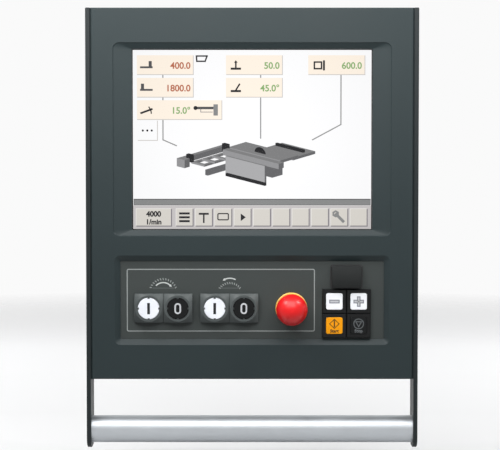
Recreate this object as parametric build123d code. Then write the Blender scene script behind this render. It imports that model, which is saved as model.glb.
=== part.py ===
from build123d import *
import math
import os

# Operator panel of a sliding table saw: a flat control head with a touch screen, a switch field and a grab
# bar, carried at its back by a tilting knuckle. All sizes are millimetres.
#
# The panel is drawn lying on its back: x to the right, y up the panel, z out of the front face towards the
# user, with z = 0 on the front face. stand_up() then turns every piece upright, so that the finished part
# has +Z up, faces -Y, and has its origin in the middle of the flange that bolts to the machine's arm.

# Housing
SIDE_PLATE_THICK = 4.5
SIDE_PLATE_EDGE = 1.2
FOOT_DEPTH = 33.0
FOOT_SLOPE = 50.0
FOOT_CORNER = 10.5
REAR_ROOM = 16.8
FRONT_WALL = 3.5
FRONT_EDGE = 1.5
SKIRT_WALL = 4.0
SKIRT_DEPTH = 20.0
GROOVE_WIDTH = 1.0
GROOVE_DEPTH = 2.5
SHELL_WALL = 2.0
SHELL_BEND = 5.0
SHELL_GASKET_THICK = 1.5

# Grab bar
HAND_GAP = 40.0
BAR_DIAMETER = 28.0
BAR_WALL = 2.5
BAR_SETBACK = 1.5
PLATE_TAIL = 4.2
PLUG_LENGTH = 22.0
BAR_SCREW_DIAMETER = 8.0
BAR_SCREW_HEAD = 16.0
BAR_SCREW_LENGTH = 20.0
BAR_SCREW_SOCKET = 5.0

# Screen and its recess
SCREEN_WIDTH = 246.0
SCREEN_HEIGHT = 184.5
SCREEN_BORDER = 0.75
RECESS_TOP_MARGIN = 35.3
RECESS_SIDE_MARGIN = 23.5
RECESS_SIDE_SLOPE = 19.25
RECESS_TOP_SLOPE = 6.45
RECESS_DEPTH = 3.8
RECESS_CORNER = 7.0
RECESS_STEP = 0.8
WINDOW_CORNER = 1.0
WINDOW_LIP = 2.5
BOSS_MARGIN = 4.0
SCREEN_GASKET_THICK = 1.0
GLASS_MARGIN = 10.0
GLASS_THICK = 3.0
CELL_MARGIN = 3.0
CELL_THICK = 2.0
MODULE_SIDE_FRAME = 16.5
MODULE_TOP_FRAME = 12.2
MODULE_THICK = 10.0

# Carrier tray and electronics behind the screen
CARRIER_THICK = 1.5
CARRIER_MARGIN = 15.0
POST_DIAMETER = 8.0
POST_GAP = 3.5
POST_SPREAD = 160.0
STANDOFF_HEIGHT = 8.0
STANDOFF_ACROSS = 5.5
BOARD_SIDE = 170.0
BOARD_THICK = 1.6
BOARD_X = 45.0
BOARD_HOLE_INSET = 6.5
HEAT_SINK_SIDE = 70.0
HEAT_SINK_HEIGHT = 18.0
HEAT_SINK_BASE = 4.0
HEAT_SINK_FINS = 9
FIN_THICK = 2.5
CONNECTOR_WIDTHS = (30.0, 30.0, 18.0, 18.0)
CONNECTOR_HEIGHT = 14.0
CONNECTOR_SPACING = 6.0
POWER_WIDTH = 88.0
POWER_HEIGHT = 120.0
POWER_THICK = 25.0
POWER_EDGE = 2.5
CABLE_WIDTH = 32.0
CABLE_THICK = 0.8
CABLE_BEND = 3.0
CABLE_ROOM = 13.0
CABLE_SLOT = 4.0
CABLE_PLUG_LENGTH = 8.0
CABLE_PLUG_THICK = 6.0
CABLE_PLUG_MARGIN = 4.0
INNER_SCREW_DIAMETER = 3.0
INNER_SCREW_LENGTH = 6.0
INNER_SCREW_HEAD = 5.5
INNER_SCREW_HEAD_HEIGHT = 2.0

# Switch field
FIELD_SPACING = 19.7
FIELD_SIDE_MARGIN = 24.8
FIELD_BOTTOM_MARGIN = 35.5
FIELD_SLOPE = 5.7
FIELD_DEPTH = 3.8
FIELD_CORNER = 6.0
FIELD_WINDOW_CORNER = 1.5
FIELD_LIP = 0.4
FIELD_GASKET_THICK = 0.5
PLATE_MARGIN = 8.0
PLATE_THICK = 2.5
STUD_DIAMETER = 3.0
STUD_TIP = 1.0
STUD_NUT_ACROSS = 5.5
STUD_NUT_THICK = 2.4
STUD_COLUMNS = 4

# Round push buttons with square collars
FIRST_BUTTON_INSET = 29.5
BUTTON_PITCH = 30.0
PAIR_GAP = 38.0
BUTTON_ROW_DROP = 8.3
BUTTON_DIAMETER = 22.2
BUTTON_THICK = 3.0
BUTTON_TRAVEL = 3.0
BUTTON_GAP = 0.25
BUTTON_EDGE = 0.4
NOTCH_WIDTH = 2.2
NOTCH_DEPTH = 1.2
LUG_GAP = 0.3
COLLAR_SPACING = 0.4
COLLAR_RIM_WALL = 2.15
COLLAR_FOOT = 2.0
COLLAR_FLOOR = 1.5
WELL_SPARE = 0.5
BARREL_DIAMETER = 22.0
BARREL_WALL = 2.5
BARREL_LENGTH = 12.0
BARREL_GAP = 0.15
BARREL_END = 3.0
STEM_DIAMETER = 10.0
STEM_REACH = 1.0
SLIDE_FIT = 0.08
SWITCH_INSET = 0.8
LOCK_NUT_THICK = 5.0
WRENCH_SLOT_WIDTH = 4.0
WRENCH_SLOT_DEPTH = 1.5
SPRING_DIAMETER = 14.0
SPRING_WIRE = 1.0
SPRING_TURNS = 6
SEAT_GAP = 0.1
CONTACT_HEIGHT = 34.0
CONTACT_DEPTH = 34.0
CONTACT_BORE_GAP = 0.5

# Emergency stop
STOP_SPACING = 49.0
STOP_ROW_DROP = 8.8
STOP_HEAD_DIAMETER = 32.0
STOP_HEAD_RIM = 5.0
STOP_HEAD_DOME = 13.0
STOP_HEAD_EDGE = 2.0
STOP_TRAVEL = 5.0
STOP_SPARE = 1.0
STOP_RING_DIAMETER = 32.8
STOP_RING_THICK = 4.0
STOP_RING_EDGE = 0.8
STOP_NECK_DIAMETER = 24.0
STOP_NECK_HEIGHT = 9.0
PLUNGER_DIAMETER = 14.0
PLUNGER_SHOULDER = 2.0
SPIGOT_LENGTH = 10.0
SPIGOT_SPARE = 0.3

# Square keys
KEY_SPACING = 56.75
KEY_INSET = 38.75
KEY_MARGIN = 1.7
KEY_PITCH = 25.0
KEY_SIDE = 17.0
KEY_CORNER = 2.0
KEY_EDGE = 0.5
KEY_THICK = 2.5
KEY_PROUD = 0.5
KEY_TRAVEL = 1.5
KEY_GAP = 0.3
BEZEL_SPACING = 0.2
BEZEL_FLOOR = 1.0
BEZEL_EDGE = 0.8
KEY_BARREL_DIAMETER = 16.0
KEY_BARREL_LENGTH = 10.0
KEY_STEM_DIAMETER = 7.0
KEY_NUT_INSET = 1.15
KEY_NUT_THICK = 4.0
KEY_CONTACT_INSET = 2.15
KEY_CONTACT_DEPTH = 14.0
KEY_BOARD_MARGIN = 3.5

# Data port with a hinged rubber cap
PORT_MARGIN = 5.25
PORT_SPACING = 1.55
CAP_HEIGHT = 22.5
CAP_TOP_WIDTH = 31.5
CAP_FOOT_WIDTH = 29.4
CAP_TOP_LIFT = 6.0
CAP_MIDDLE_LIFT = 9.5
CAP_FOOT_LIFT = 9.0
CAP_REAR_GAP = 0.4
CAP_EDGE = 1.0
CAP_CORNER = 1.5
CAP_WALL = 2.2
HINGE_RADIUS = 2.0
HINGE_GAP = 0.4
HINGE_PIN_DIAMETER = 1.8
HINGE_EAR = 4.1
PORT_FRAME_THICK = 2.5
PORT_FRAME_GAP = 1.5
PORT_ARM = 1.4
PORT_RIM = 1.2
PORT_RIM_THICK = 0.25
SOCKET_WIDTH = 13.1
SOCKET_HEIGHT = 5.8
SOCKET_WALL = 0.4
SOCKET_LENGTH = 14.0
SOCKET_GAP = 0.25
TONGUE_WIDTH = 11.0
TONGUE_THICK = 1.8
TONGUE_RISE = 1.1
TONGUE_SETBACK = 1.0

# Screws through the side plates
SIDE_SCREW_DIAMETER = 5.0
SIDE_SCREW_HEAD = 10.0
SIDE_SCREW_LENGTH = 13.0
SIDE_SCREW_SOCKET = 3.0
SIDE_SCREW_SOCKET_DEPTH = 1.7
SIDE_SCREW_INSET = 26.0
SHELL_SCREW_BACK = 25.0
SHELL_LOW_SCREW_RISE = 66.0
FRONT_SCREW_DEPTH = 11.0
SCREW_PAD_SIDE = 14.0
SCREW_PAD_REACH = 8.0
SCREW_TIP_ROOM = 0.5
THREAD_GAP = 0.05
HOLE_GAP = 0.25

# Mount plate, tilting knuckle and flange on the back
MOUNT_PITCH = 100.0
MOUNT_MARGIN = 15.0
MOUNT_THICK = 6.0
MOUNT_CORNER = 8.0
MOUNT_SCREW_DIAMETER = 6.0
MOUNT_SCREW_HEAD = 10.0
MOUNT_SCREW_HEAD_HEIGHT = 6.0
MOUNT_SCREW_SOCKET = 5.0
MOUNT_SCREW_SOCKET_DEPTH = 3.0
MOUNT_SCREW_LENGTH = 14.0
MOUNT_BOSS_WALL = 4.0
MOUNT_BOSS_HEIGHT = 8.0
PIVOT_STANDOFF = 30.0
PIVOT_TO_FLANGE = 45.0
EAR_GAP = 40.0
EAR_THICK = 10.0
EAR_RADIUS = 22.0
KNUCKLE_RADIUS = 20.0
NECK_HEIGHT = 36.0
WASHER_THICK = 1.5
WASHER_DIAMETER = 38.0
TILT_BOLT_DIAMETER = 12.0
TILT_BOLT_HEAD = 19.0
TILT_BOLT_HEAD_THICK = 7.5
TILT_FIT = 0.08
FLANGE_BOLT_CIRCLE = 70.0
FLANGE_MARGIN = 10.0
FLANGE_THICK = 10.0
FLANGE_EDGE = 1.5
FLANGE_HOLE_DIAMETER = 9.0
FLANGE_HOLES = 4
LEVER_HUB_DIAMETER = 22.0
LEVER_HUB_LENGTH = 20.0
LEVER_HUB_EDGE = 2.0
LEVER_GAP = 0.3
LEVER_LENGTH = 62.0
LEVER_ROOT_DIAMETER = 12.0
LEVER_NECK_DIAMETER = 9.0
LEVER_TIP_DIAMETER = 14.0
LEVER_LEAN = 15.0
LEVER_THREAD_DIAMETER = 10.0
LEVER_THREAD_LENGTH = 16.0

# Cable gland in the back
GLAND_X = -80.0
GLAND_DROP = 98.0
GLAND_THREAD = 25.0
GLAND_THREAD_TIP = 2.0
GLAND_HEX = 30.0
GLAND_HEX_THICK = 8.0
GLAND_CAP_DIAMETER = 28.0
GLAND_CAP_LENGTH = 18.0
GLAND_CAP_EDGE = 3.0
GLAND_BORE = 14.0
GLAND_NUT_THICK = 6.0
GLAND_NUT_ACROSS = 32.0

# Switch field: its size follows from what sits in it
FIELD_WIDTH = FIRST_BUTTON_INSET + 2 * BUTTON_PITCH + PAIR_GAP + STOP_SPACING + KEY_SPACING + KEY_INSET
FIELD_HEIGHT = PORT_MARGIN + CAP_HEIGHT + PORT_SPACING + 2 * KEY_PITCH + KEY_MARGIN

# Front view: the front is as wide as the wider of its two recesses needs
WINDOW_WIDTH = SCREEN_WIDTH + 2 * SCREEN_BORDER
WINDOW_HEIGHT = SCREEN_HEIGHT + 2 * SCREEN_BORDER
RECESS_WIDTH = WINDOW_WIDTH + 2 * RECESS_SIDE_SLOPE
RECESS_HEIGHT = WINDOW_HEIGHT + 2 * RECESS_TOP_SLOPE
FIELD_RECESS_WIDTH = FIELD_WIDTH + 2 * FIELD_SLOPE
FIELD_RECESS_HEIGHT = FIELD_HEIGHT + 2 * FIELD_SLOPE
FRONT_WIDTH = max(RECESS_WIDTH + 2 * RECESS_SIDE_MARGIN, FIELD_RECESS_WIDTH + 2 * FIELD_SIDE_MARGIN)
PANEL_WIDTH = FRONT_WIDTH + 2 * SIDE_PLATE_THICK
PANEL_HEIGHT = (
    RECESS_TOP_MARGIN + RECESS_HEIGHT + FIELD_SPACING + FIELD_RECESS_HEIGHT + FIELD_BOTTOM_MARGIN
)
TOP = PANEL_HEIGHT / 2
BOTTOM = -PANEL_HEIGHT / 2
SCREEN_Y = TOP - RECESS_TOP_MARGIN - RECESS_HEIGHT / 2
FIELD_Y = BOTTOM + FIELD_BOTTOM_MARGIN + FIELD_RECESS_HEIGHT / 2
BAR_Y = BOTTOM - HAND_GAP - BAR_DIAMETER / 2
BAR_Z = -(BAR_SETBACK + BAR_DIAMETER / 2)
PLATE_FOOT = BAR_Y - BAR_DIAMETER / 2 - PLATE_TAIL

# Heights of the switches, measured out from the front of the switch plate
COLLAR_SIDE = BUTTON_PITCH - COLLAR_SPACING
COLLAR_HEIGHT = COLLAR_FLOOR + WELL_SPARE + BUTTON_TRAVEL + BUTTON_THICK
COLLAR_BORE = BUTTON_DIAMETER + 2 * BUTTON_GAP
BUTTON_BACK = COLLAR_HEIGHT - BUTTON_THICK
BARREL_BACK = -(PLATE_THICK + BARREL_LENGTH)
SPRING_FLOOR = BARREL_BACK + BARREL_END
STOP_HEAD_LIFT = STOP_NECK_HEIGHT + STOP_TRAVEL + STOP_SPARE
SPIGOT_DIAMETER = PLUNGER_DIAMETER - 2 * PLUNGER_SHOULDER
BEZEL_SIDE = KEY_PITCH - BEZEL_SPACING
KEY_BACK = BEZEL_FLOOR + KEY_GAP + KEY_TRAVEL
KEY_FRONT = KEY_BACK + KEY_THICK
BEZEL_HEIGHT = KEY_FRONT - KEY_PROUD
KEY_BARREL_BACK = -(PLATE_THICK + KEY_BARREL_LENGTH)

# Levels through the depth, from the front face back
SCREEN_SEAT = -(RECESS_DEPTH + WINDOW_LIP)
GLASS_FRONT = SCREEN_SEAT - SCREEN_GASKET_THICK
CELL_FRONT = GLASS_FRONT - GLASS_THICK
MODULE_FRONT = CELL_FRONT - CELL_THICK
MODULE_BACK = CELL_FRONT - MODULE_THICK
CARRIER_BACK = MODULE_BACK - CARRIER_THICK
BOARD_FRONT = CARRIER_BACK - STANDOFF_HEIGHT
BOARD_BACK = BOARD_FRONT - BOARD_THICK
FIELD_SEAT = -(FIELD_DEPTH + FIELD_LIP)
PLATE_FRONT = FIELD_SEAT - FIELD_GASKET_THICK
PLATE_BACK = PLATE_FRONT - PLATE_THICK
CONTACT_BACK = PLATE_FRONT + BARREL_BACK - CONTACT_DEPTH
HOUSING_DEPTH = REAR_ROOM - CONTACT_BACK
SHELL_FRONT = SKIRT_DEPTH + SHELL_GASKET_THICK
SHELL_SCREW_DEPTH = HOUSING_DEPTH - SHELL_SCREW_BACK
MOUNT_BACK = -(HOUSING_DEPTH + MOUNT_THICK)
PIVOT_Z = MOUNT_BACK - PIVOT_STANDOFF
FLANGE_BACK = PIVOT_Z - PIVOT_TO_FLANGE

# Places in the front view
GLASS_WIDTH = WINDOW_WIDTH + 2 * GLASS_MARGIN
GLASS_HEIGHT = WINDOW_HEIGHT + 2 * GLASS_MARGIN
MODULE_WIDTH = SCREEN_WIDTH + 2 * MODULE_SIDE_FRAME
MODULE_HEIGHT = SCREEN_HEIGHT + 2 * MODULE_TOP_FRAME
POST_X = MODULE_WIDTH / 2 + POST_GAP + POST_DIAMETER / 2
POST_PLACES = [(x, SCREEN_Y + y) for x in (-POST_X, POST_X) for y in (-POST_SPREAD / 2, POST_SPREAD / 2)]
BOARD_LEFT = BOARD_X - BOARD_SIDE / 2
BOARD_HOLE = BOARD_SIDE / 2 - BOARD_HOLE_INSET
BOARD_PLACES = [
    (BOARD_X + x, SCREEN_Y + y) for x in (-BOARD_HOLE, BOARD_HOLE) for y in (-BOARD_HOLE, BOARD_HOLE)
]
CABLE_X = BOARD_LEFT - CABLE_ROOM / 2
POWER_X = BOARD_LEFT - CABLE_ROOM - POWER_WIDTH / 2
PLATE_WIDTH = FIELD_WIDTH + 2 * PLATE_MARGIN
PLATE_HEIGHT = FIELD_HEIGHT + 2 * PLATE_MARGIN
STUD_X = (FIELD_WIDTH + PLATE_MARGIN) / 2
STUD_Y = (FIELD_HEIGHT + PLATE_MARGIN) / 2
STUD_PITCH = 2 * STUD_X / (STUD_COLUMNS - 1)
STUD_PLACES = [
    (column * STUD_PITCH - STUD_X, FIELD_Y + y) for column in range(STUD_COLUMNS) for y in (-STUD_Y, STUD_Y)
]
BUTTON_Y = FIELD_Y - BUTTON_ROW_DROP
MAIN_ON_X = FIRST_BUTTON_INSET - FIELD_WIDTH / 2
SCORING_ON_X = MAIN_ON_X + BUTTON_PITCH + PAIR_GAP
BUTTON_PLACES = {
    "main_saw_on": MAIN_ON_X,
    "main_saw_off": MAIN_ON_X + BUTTON_PITCH,
    "scoring_saw_on": SCORING_ON_X,
    "scoring_saw_off": SCORING_ON_X + BUTTON_PITCH,
}
STOP_X = SCORING_ON_X + BUTTON_PITCH + STOP_SPACING
STOP_Y = FIELD_Y - STOP_ROW_DROP
SWITCH_PLACES = [*((x, BUTTON_Y) for x in BUTTON_PLACES.values()), (STOP_X, STOP_Y)]
KEY_X = STOP_X + KEY_SPACING
KEY_Y = FIELD_Y - FIELD_HEIGHT / 2 + KEY_MARGIN + KEY_PITCH
KEY_PLACES = {
    "minus_key": (KEY_X - KEY_PITCH / 2, KEY_Y + KEY_PITCH / 2),
    "plus_key": (KEY_X + KEY_PITCH / 2, KEY_Y + KEY_PITCH / 2),
    "start_key": (KEY_X - KEY_PITCH / 2, KEY_Y - KEY_PITCH / 2),
    "stop_key": (KEY_X + KEY_PITCH / 2, KEY_Y - KEY_PITCH / 2),
}
PORT_Y = FIELD_Y + FIELD_HEIGHT / 2 - PORT_MARGIN - CAP_HEIGHT / 2
FRONT_SCREW_ROWS = [TOP - SIDE_SCREW_INSET, 0.0, BOTTOM + SIDE_SCREW_INSET]
SHELL_SCREW_ROWS = [TOP - SIDE_SCREW_INSET, 0.0, BOTTOM + SHELL_LOW_SCREW_RISE]
MOUNT_SIDE = MOUNT_PITCH + 2 * MOUNT_MARGIN
MOUNT_HALF = MOUNT_PITCH / 2
MOUNT_PLACES = [(x, y) for x in (-MOUNT_HALF, MOUNT_HALF) for y in (-MOUNT_HALF, MOUNT_HALF)]
EAR_OUTSIDE = EAR_GAP / 2 + EAR_THICK

# Hinge of the port's cap, measured from the middle of the port
CAP_TOP = CAP_HEIGHT / 2
HINGE_RISE = CAP_TOP - HINGE_RADIUS
HINGE_LIFT = CAP_REAR_GAP + HINGE_RADIUS
HINGE_CLEAR = HINGE_RADIUS + HINGE_GAP
HINGE_OUTER = CAP_TOP_WIDTH / 2 - HINGE_GAP
HINGE_INNER = HINGE_OUTER - HINGE_EAR
POCKET_HALF = HINGE_INNER + PORT_ARM + HINGE_GAP
POCKET_FOOT = CAP_WALL - CAP_TOP
POCKET_TOP = HINGE_RISE - HINGE_CLEAR - HINGE_GAP
POCKET_LIFT = CAP_TOP_LIFT - CAP_WALL
FRAME_FOOT = POCKET_FOOT + PORT_FRAME_GAP
FRAME_TOP = POCKET_TOP - PORT_FRAME_GAP


# Basic shapes, between two levels of z
def prism(outline, low, high, x=0.0, y=0.0):
    return extrude(Pos(x, y, low) * outline, amount=high - low)


def slab(width, height, low, high, x=0.0, y=0.0):
    return prism(Rectangle(width, height), low, high, x, y)


def disc(diameter, low, high, x=0.0, y=0.0):
    return prism(Circle(diameter / 2), low, high, x, y)


def hexagon(across_flats, low, high, x=0.0, y=0.0):
    return prism(RegularPolygon(across_flats / 2, 6, major_radius=False), low, high, x, y)


def frame(width, height, hole_width, hole_height, low, high, y):
    return prism(Rectangle(width, height) - Rectangle(hole_width, hole_height), low, high, y=y)


def spindle(diameter, start, end, y, z):
    """A round bar along x."""
    return Pos((start + end) / 2, y, z) * Rot(0, 90, 0) * Cylinder(diameter / 2, end - start)


def across(outline, width, x=0.0):
    """A side view drawn in (y, z), drawn out along x with its middle at x."""
    return Pos(x, 0, 0) * extrude(Plane.YZ * make_face(outline), amount=width / 2, both=True)


def front_edges(piece):
    return piece.faces().sort_by(Axis.Z)[-1].edges()


def four_ways(piece):
    return [Rot(0, 0, turn) * piece for turn in (0, 90, 180, 270)]


def group(pieces):
    return Compound([solid for piece in pieces for solid in piece.solids()])


def on_plate(piece, x, y):
    """Sets a switch piece, drawn about its own axis, on the switch plate."""
    return Pos(x, y, PLATE_FRONT) * piece


def stand_up(piece):
    upright = Plane(origin=(0, FLANGE_BACK, 0), x_dir=(1, 0, 0), z_dir=(0, -1, 0))
    return upright.location * piece


# Screws
def countersunk(diameter, head, length, gap=0.0):
    """A screw along -z with its flat head at z = 0, or with a gap the hole that takes it."""
    head_height = (head - diameter) / 2
    cone = Cone(diameter / 2 + gap, head / 2 + gap, head_height)
    return Pos(0, 0, -head_height / 2) * cone + disc(diameter + 2 * gap, -length, -head_height / 2)


def outward(side, y, z):
    """From a screw's own axis to the outside of a side plate."""
    return Pos(side * PANEL_WIDTH / 2, y, z) * Rot(0, 90 * side, 0)


def side_screw_places():
    front = [(y, -FRONT_SCREW_DEPTH) for y in FRONT_SCREW_ROWS]
    return front + [(y, -SHELL_SCREW_DEPTH) for y in SHELL_SCREW_ROWS]


def side_screw():
    screw = countersunk(SIDE_SCREW_DIAMETER, SIDE_SCREW_HEAD, SIDE_SCREW_LENGTH)
    return screw - hexagon(SIDE_SCREW_SOCKET, -SIDE_SCREW_SOCKET_DEPTH, 0)


def side_screw_threads(rows, depth):
    thread = disc(SIDE_SCREW_DIAMETER + 2 * THREAD_GAP, -SIDE_SCREW_LENGTH - SCREW_TIP_ROOM, 0)
    return [outward(side, y, -depth) * thread for side in (-1, 1) for y in rows]


def bar_screw():
    screw = countersunk(BAR_SCREW_DIAMETER, BAR_SCREW_HEAD, BAR_SCREW_LENGTH)
    return screw - hexagon(BAR_SCREW_SOCKET, -BAR_SCREW_DIAMETER / 2, 0)


def inner_screw(seat, x, y):
    """A pan-head screw driven in from the back, with its head on a level of z."""
    screw = disc(INNER_SCREW_HEAD, seat - INNER_SCREW_HEAD_HEIGHT, seat, x, y)
    return screw + disc(INNER_SCREW_DIAMETER, seat, seat + INNER_SCREW_LENGTH, x, y)


def mount_screw(x, y):
    head = MOUNT_BACK - MOUNT_SCREW_HEAD_HEIGHT
    screw = disc(MOUNT_SCREW_HEAD, head, MOUNT_BACK, x, y)
    screw += disc(MOUNT_SCREW_DIAMETER, MOUNT_BACK, MOUNT_BACK + MOUNT_SCREW_LENGTH, x, y)
    return screw - hexagon(MOUNT_SCREW_SOCKET, head, head + MOUNT_SCREW_SOCKET_DEPTH, x, y)


# Housing
def screen_recess():
    outer = RectangleRounded(RECESS_WIDTH, RECESS_HEIGHT, RECESS_CORNER)
    shrink = 2 * RECESS_STEP
    step = RectangleRounded(RECESS_WIDTH - shrink, RECESS_HEIGHT - shrink, RECESS_CORNER - RECESS_STEP)
    step = Pos(0, 0, -RECESS_STEP) * step
    window = RectangleRounded(WINDOW_WIDTH, WINDOW_HEIGHT, WINDOW_CORNER)
    cut = prism(outer, 0, FRONT_WALL)
    cut += loft([outer, step], ruled=True)
    cut += loft([step, Pos(0, 0, -RECESS_DEPTH) * window], ruled=True)
    cut += prism(window, SCREEN_SEAT, -RECESS_DEPTH)
    return Pos(0, SCREEN_Y, 0) * cut


def field_recess():
    outer = RectangleRounded(FIELD_RECESS_WIDTH, FIELD_RECESS_HEIGHT, FIELD_CORNER)
    window = RectangleRounded(FIELD_WIDTH, FIELD_HEIGHT, FIELD_WINDOW_CORNER)
    cut = prism(outer, 0, FRONT_WALL)
    cut += loft([outer, Pos(0, 0, -FIELD_DEPTH) * window], ruled=True)
    cut += prism(window, FIELD_SEAT, -FIELD_DEPTH)
    return Pos(0, FIELD_Y, 0) * cut


def front_panel():
    body = slab(FRONT_WIDTH, PANEL_HEIGHT, -SKIRT_DEPTH, 0)
    for side in (-1, 1):
        groove_x = side * (FRONT_WIDTH - GROOVE_WIDTH) / 2
        body -= slab(GROOVE_WIDTH, PANEL_HEIGHT, -GROOVE_DEPTH, 0, groove_x)
    body = fillet(front_edges(body), FRONT_EDGE)
    inner_width = FRONT_WIDTH - 2 * SKIRT_WALL
    body -= slab(inner_width, PANEL_HEIGHT - 2 * SKIRT_WALL, -SKIRT_DEPTH, -FRONT_WALL)
    boss_width = RECESS_WIDTH + 2 * BOSS_MARGIN
    boss_height = RECESS_HEIGHT + 2 * BOSS_MARGIN
    body += slab(boss_width, boss_height, SCREEN_SEAT, -FRONT_WALL, y=SCREEN_Y)
    body += slab(PLATE_WIDTH + BOSS_MARGIN, PLATE_HEIGHT + BOSS_MARGIN, FIELD_SEAT, -FRONT_WALL, y=FIELD_Y)
    body -= screen_recess()
    body -= field_recess()
    thread = INNER_SCREW_DIAMETER + 2 * THREAD_GAP
    for x, y in POST_PLACES:
        body += disc(POST_DIAMETER, MODULE_BACK, -FRONT_WALL, x, y)
        body -= disc(thread, MODULE_BACK, MODULE_BACK + INNER_SCREW_LENGTH, x, y)
    for x, y in STUD_PLACES:
        body += disc(STUD_DIAMETER, PLATE_BACK - STUD_NUT_THICK - STUD_TIP, FIELD_SEAT, x, y)
    for y in FRONT_SCREW_ROWS:
        for side in (-1, 1):
            pad_x = side * (inner_width - SCREW_PAD_REACH) / 2
            pad_back = -FRONT_SCREW_DEPTH - SCREW_PAD_SIDE / 2
            body += slab(SCREW_PAD_REACH, SCREW_PAD_SIDE, pad_back, -FRONT_WALL, pad_x, y)
    return body - side_screw_threads(FRONT_SCREW_ROWS, FRONT_SCREW_DEPTH)


def rear_shell():
    outline = Polyline(
        (TOP, -SHELL_FRONT),
        (BOTTOM, -SHELL_FRONT),
        (BOTTOM, -FOOT_DEPTH),
        (BOTTOM + FOOT_SLOPE, -HOUSING_DEPTH),
        (TOP, -HOUSING_DEPTH),
        close=True,
    )
    body = across(outline, FRONT_WIDTH)
    bends = [edge for edge in body.edges().filter_by(Axis.X) if edge.center().Z < -SHELL_FRONT - SHELL_WALL]
    body = fillet(bends, SHELL_BEND)
    body = offset(body, -SHELL_WALL, openings=body.faces().sort_by(Axis.Z)[-1])
    inside = SHELL_WALL - HOUSING_DEPTH
    boss = MOUNT_SCREW_DIAMETER + 2 * MOUNT_BOSS_WALL
    for x, y in MOUNT_PLACES:
        body += disc(boss, inside, inside + MOUNT_BOSS_HEIGHT, x, y)
        body -= disc(MOUNT_SCREW_DIAMETER + 2 * THREAD_GAP, -HOUSING_DEPTH, inside + MOUNT_BOSS_HEIGHT, x, y)
    body -= disc(GLAND_THREAD + 2 * HOLE_GAP, -HOUSING_DEPTH, inside, GLAND_X, -GLAND_DROP)
    for y in SHELL_SCREW_ROWS:
        for side in (-1, 1):
            pad_x = side * (FRONT_WIDTH / 2 - SHELL_WALL - SCREW_PAD_REACH / 2)
            pad_back = -SHELL_SCREW_DEPTH - SCREW_PAD_SIDE / 2
            body += slab(SCREW_PAD_REACH, SCREW_PAD_SIDE, pad_back, pad_back + SCREW_PAD_SIDE, pad_x, y)
    return body - side_screw_threads(SHELL_SCREW_ROWS, SHELL_SCREW_DEPTH)


def shell_gasket():
    hole_width = FRONT_WIDTH - 2 * SKIRT_WALL
    hole_height = PANEL_HEIGHT - 2 * SKIRT_WALL
    return frame(FRONT_WIDTH, PANEL_HEIGHT, hole_width, hole_height, -SHELL_FRONT, -SKIRT_DEPTH, 0)


def side_plate(side):
    outline = Polyline(
        (TOP, 0),
        (PLATE_FOOT, 0),
        (PLATE_FOOT, -FOOT_DEPTH),
        (BOTTOM, -FOOT_DEPTH),
        (BOTTOM + FOOT_SLOPE, -HOUSING_DEPTH),
        (TOP, -HOUSING_DEPTH),
        close=True,
    )
    plate = across(outline, SIDE_PLATE_THICK, side * (PANEL_WIDTH - SIDE_PLATE_THICK) / 2)
    corners = plate.edges().filter_by(Axis.X)
    foot = [edge for edge in corners if edge.center().Y < BAR_Y]
    plate = fillet(foot, FOOT_CORNER)
    back = [edge for edge in plate.edges().filter_by(Axis.X) if edge.center().Z < SHELL_BEND - HOUSING_DEPTH]
    plate = fillet(back, SHELL_BEND)
    outside = plate.faces().sort_by(Axis.X)[-1 if side > 0 else 0]
    plate = fillet(outside.edges(), SIDE_PLATE_EDGE)
    hole = countersunk(SIDE_SCREW_DIAMETER, SIDE_SCREW_HEAD, SIDE_SCREW_LENGTH, HOLE_GAP)
    plate -= [outward(side, y, z) * hole for y, z in side_screw_places()]
    bar_hole = countersunk(BAR_SCREW_DIAMETER, BAR_SCREW_HEAD, BAR_SCREW_LENGTH, HOLE_GAP)
    return plate - outward(side, BAR_Y, BAR_Z) * bar_hole


# Grab bar
def grab_bar():
    half = FRONT_WIDTH / 2
    tube = spindle(BAR_DIAMETER, -half, half, BAR_Y, BAR_Z)
    return tube - spindle(BAR_DIAMETER - 2 * BAR_WALL, -half, half, BAR_Y, BAR_Z)


def bar_end_plug(side):
    end = side * FRONT_WIDTH / 2
    start, stop = sorted((end, end - side * PLUG_LENGTH))
    plug = spindle(BAR_DIAMETER - 2 * (BAR_WALL + THREAD_GAP), start, stop, BAR_Y, BAR_Z)
    return plug - spindle(BAR_SCREW_DIAMETER + 2 * THREAD_GAP, start, stop, BAR_Y, BAR_Z)


# Display
def screen_gasket():
    hole_width = WINDOW_WIDTH + SCREEN_BORDER
    hole_height = WINDOW_HEIGHT + SCREEN_BORDER
    return frame(GLASS_WIDTH, GLASS_HEIGHT, hole_width, hole_height, GLASS_FRONT, SCREEN_SEAT, SCREEN_Y)


def touch_glass():
    return slab(GLASS_WIDTH, GLASS_HEIGHT, CELL_FRONT, GLASS_FRONT, y=SCREEN_Y)


def display_cell(gap=0.0):
    """The liquid-crystal cell, or with a gap the pocket that takes it."""
    margin = 2 * (CELL_MARGIN + gap)
    return slab(SCREEN_WIDTH + margin, SCREEN_HEIGHT + margin, MODULE_FRONT, CELL_FRONT, y=SCREEN_Y)


def display_module():
    tray = slab(MODULE_WIDTH, MODULE_HEIGHT, MODULE_BACK, CELL_FRONT, y=SCREEN_Y)
    return tray - display_cell(HOLE_GAP)


def display_carrier():
    width = 2 * POST_X + POST_DIAMETER
    tray = slab(width, POST_SPREAD + 2 * CARRIER_MARGIN, CARRIER_BACK, MODULE_BACK, y=SCREEN_Y)
    for x, y in POST_PLACES:
        tray -= disc(INNER_SCREW_DIAMETER + 2 * HOLE_GAP, CARRIER_BACK, MODULE_BACK, x, y)
    return tray - slab(CABLE_SLOT, CABLE_WIDTH + CABLE_SLOT, CARRIER_BACK, MODULE_BACK, CABLE_X, SCREEN_Y)


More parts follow.
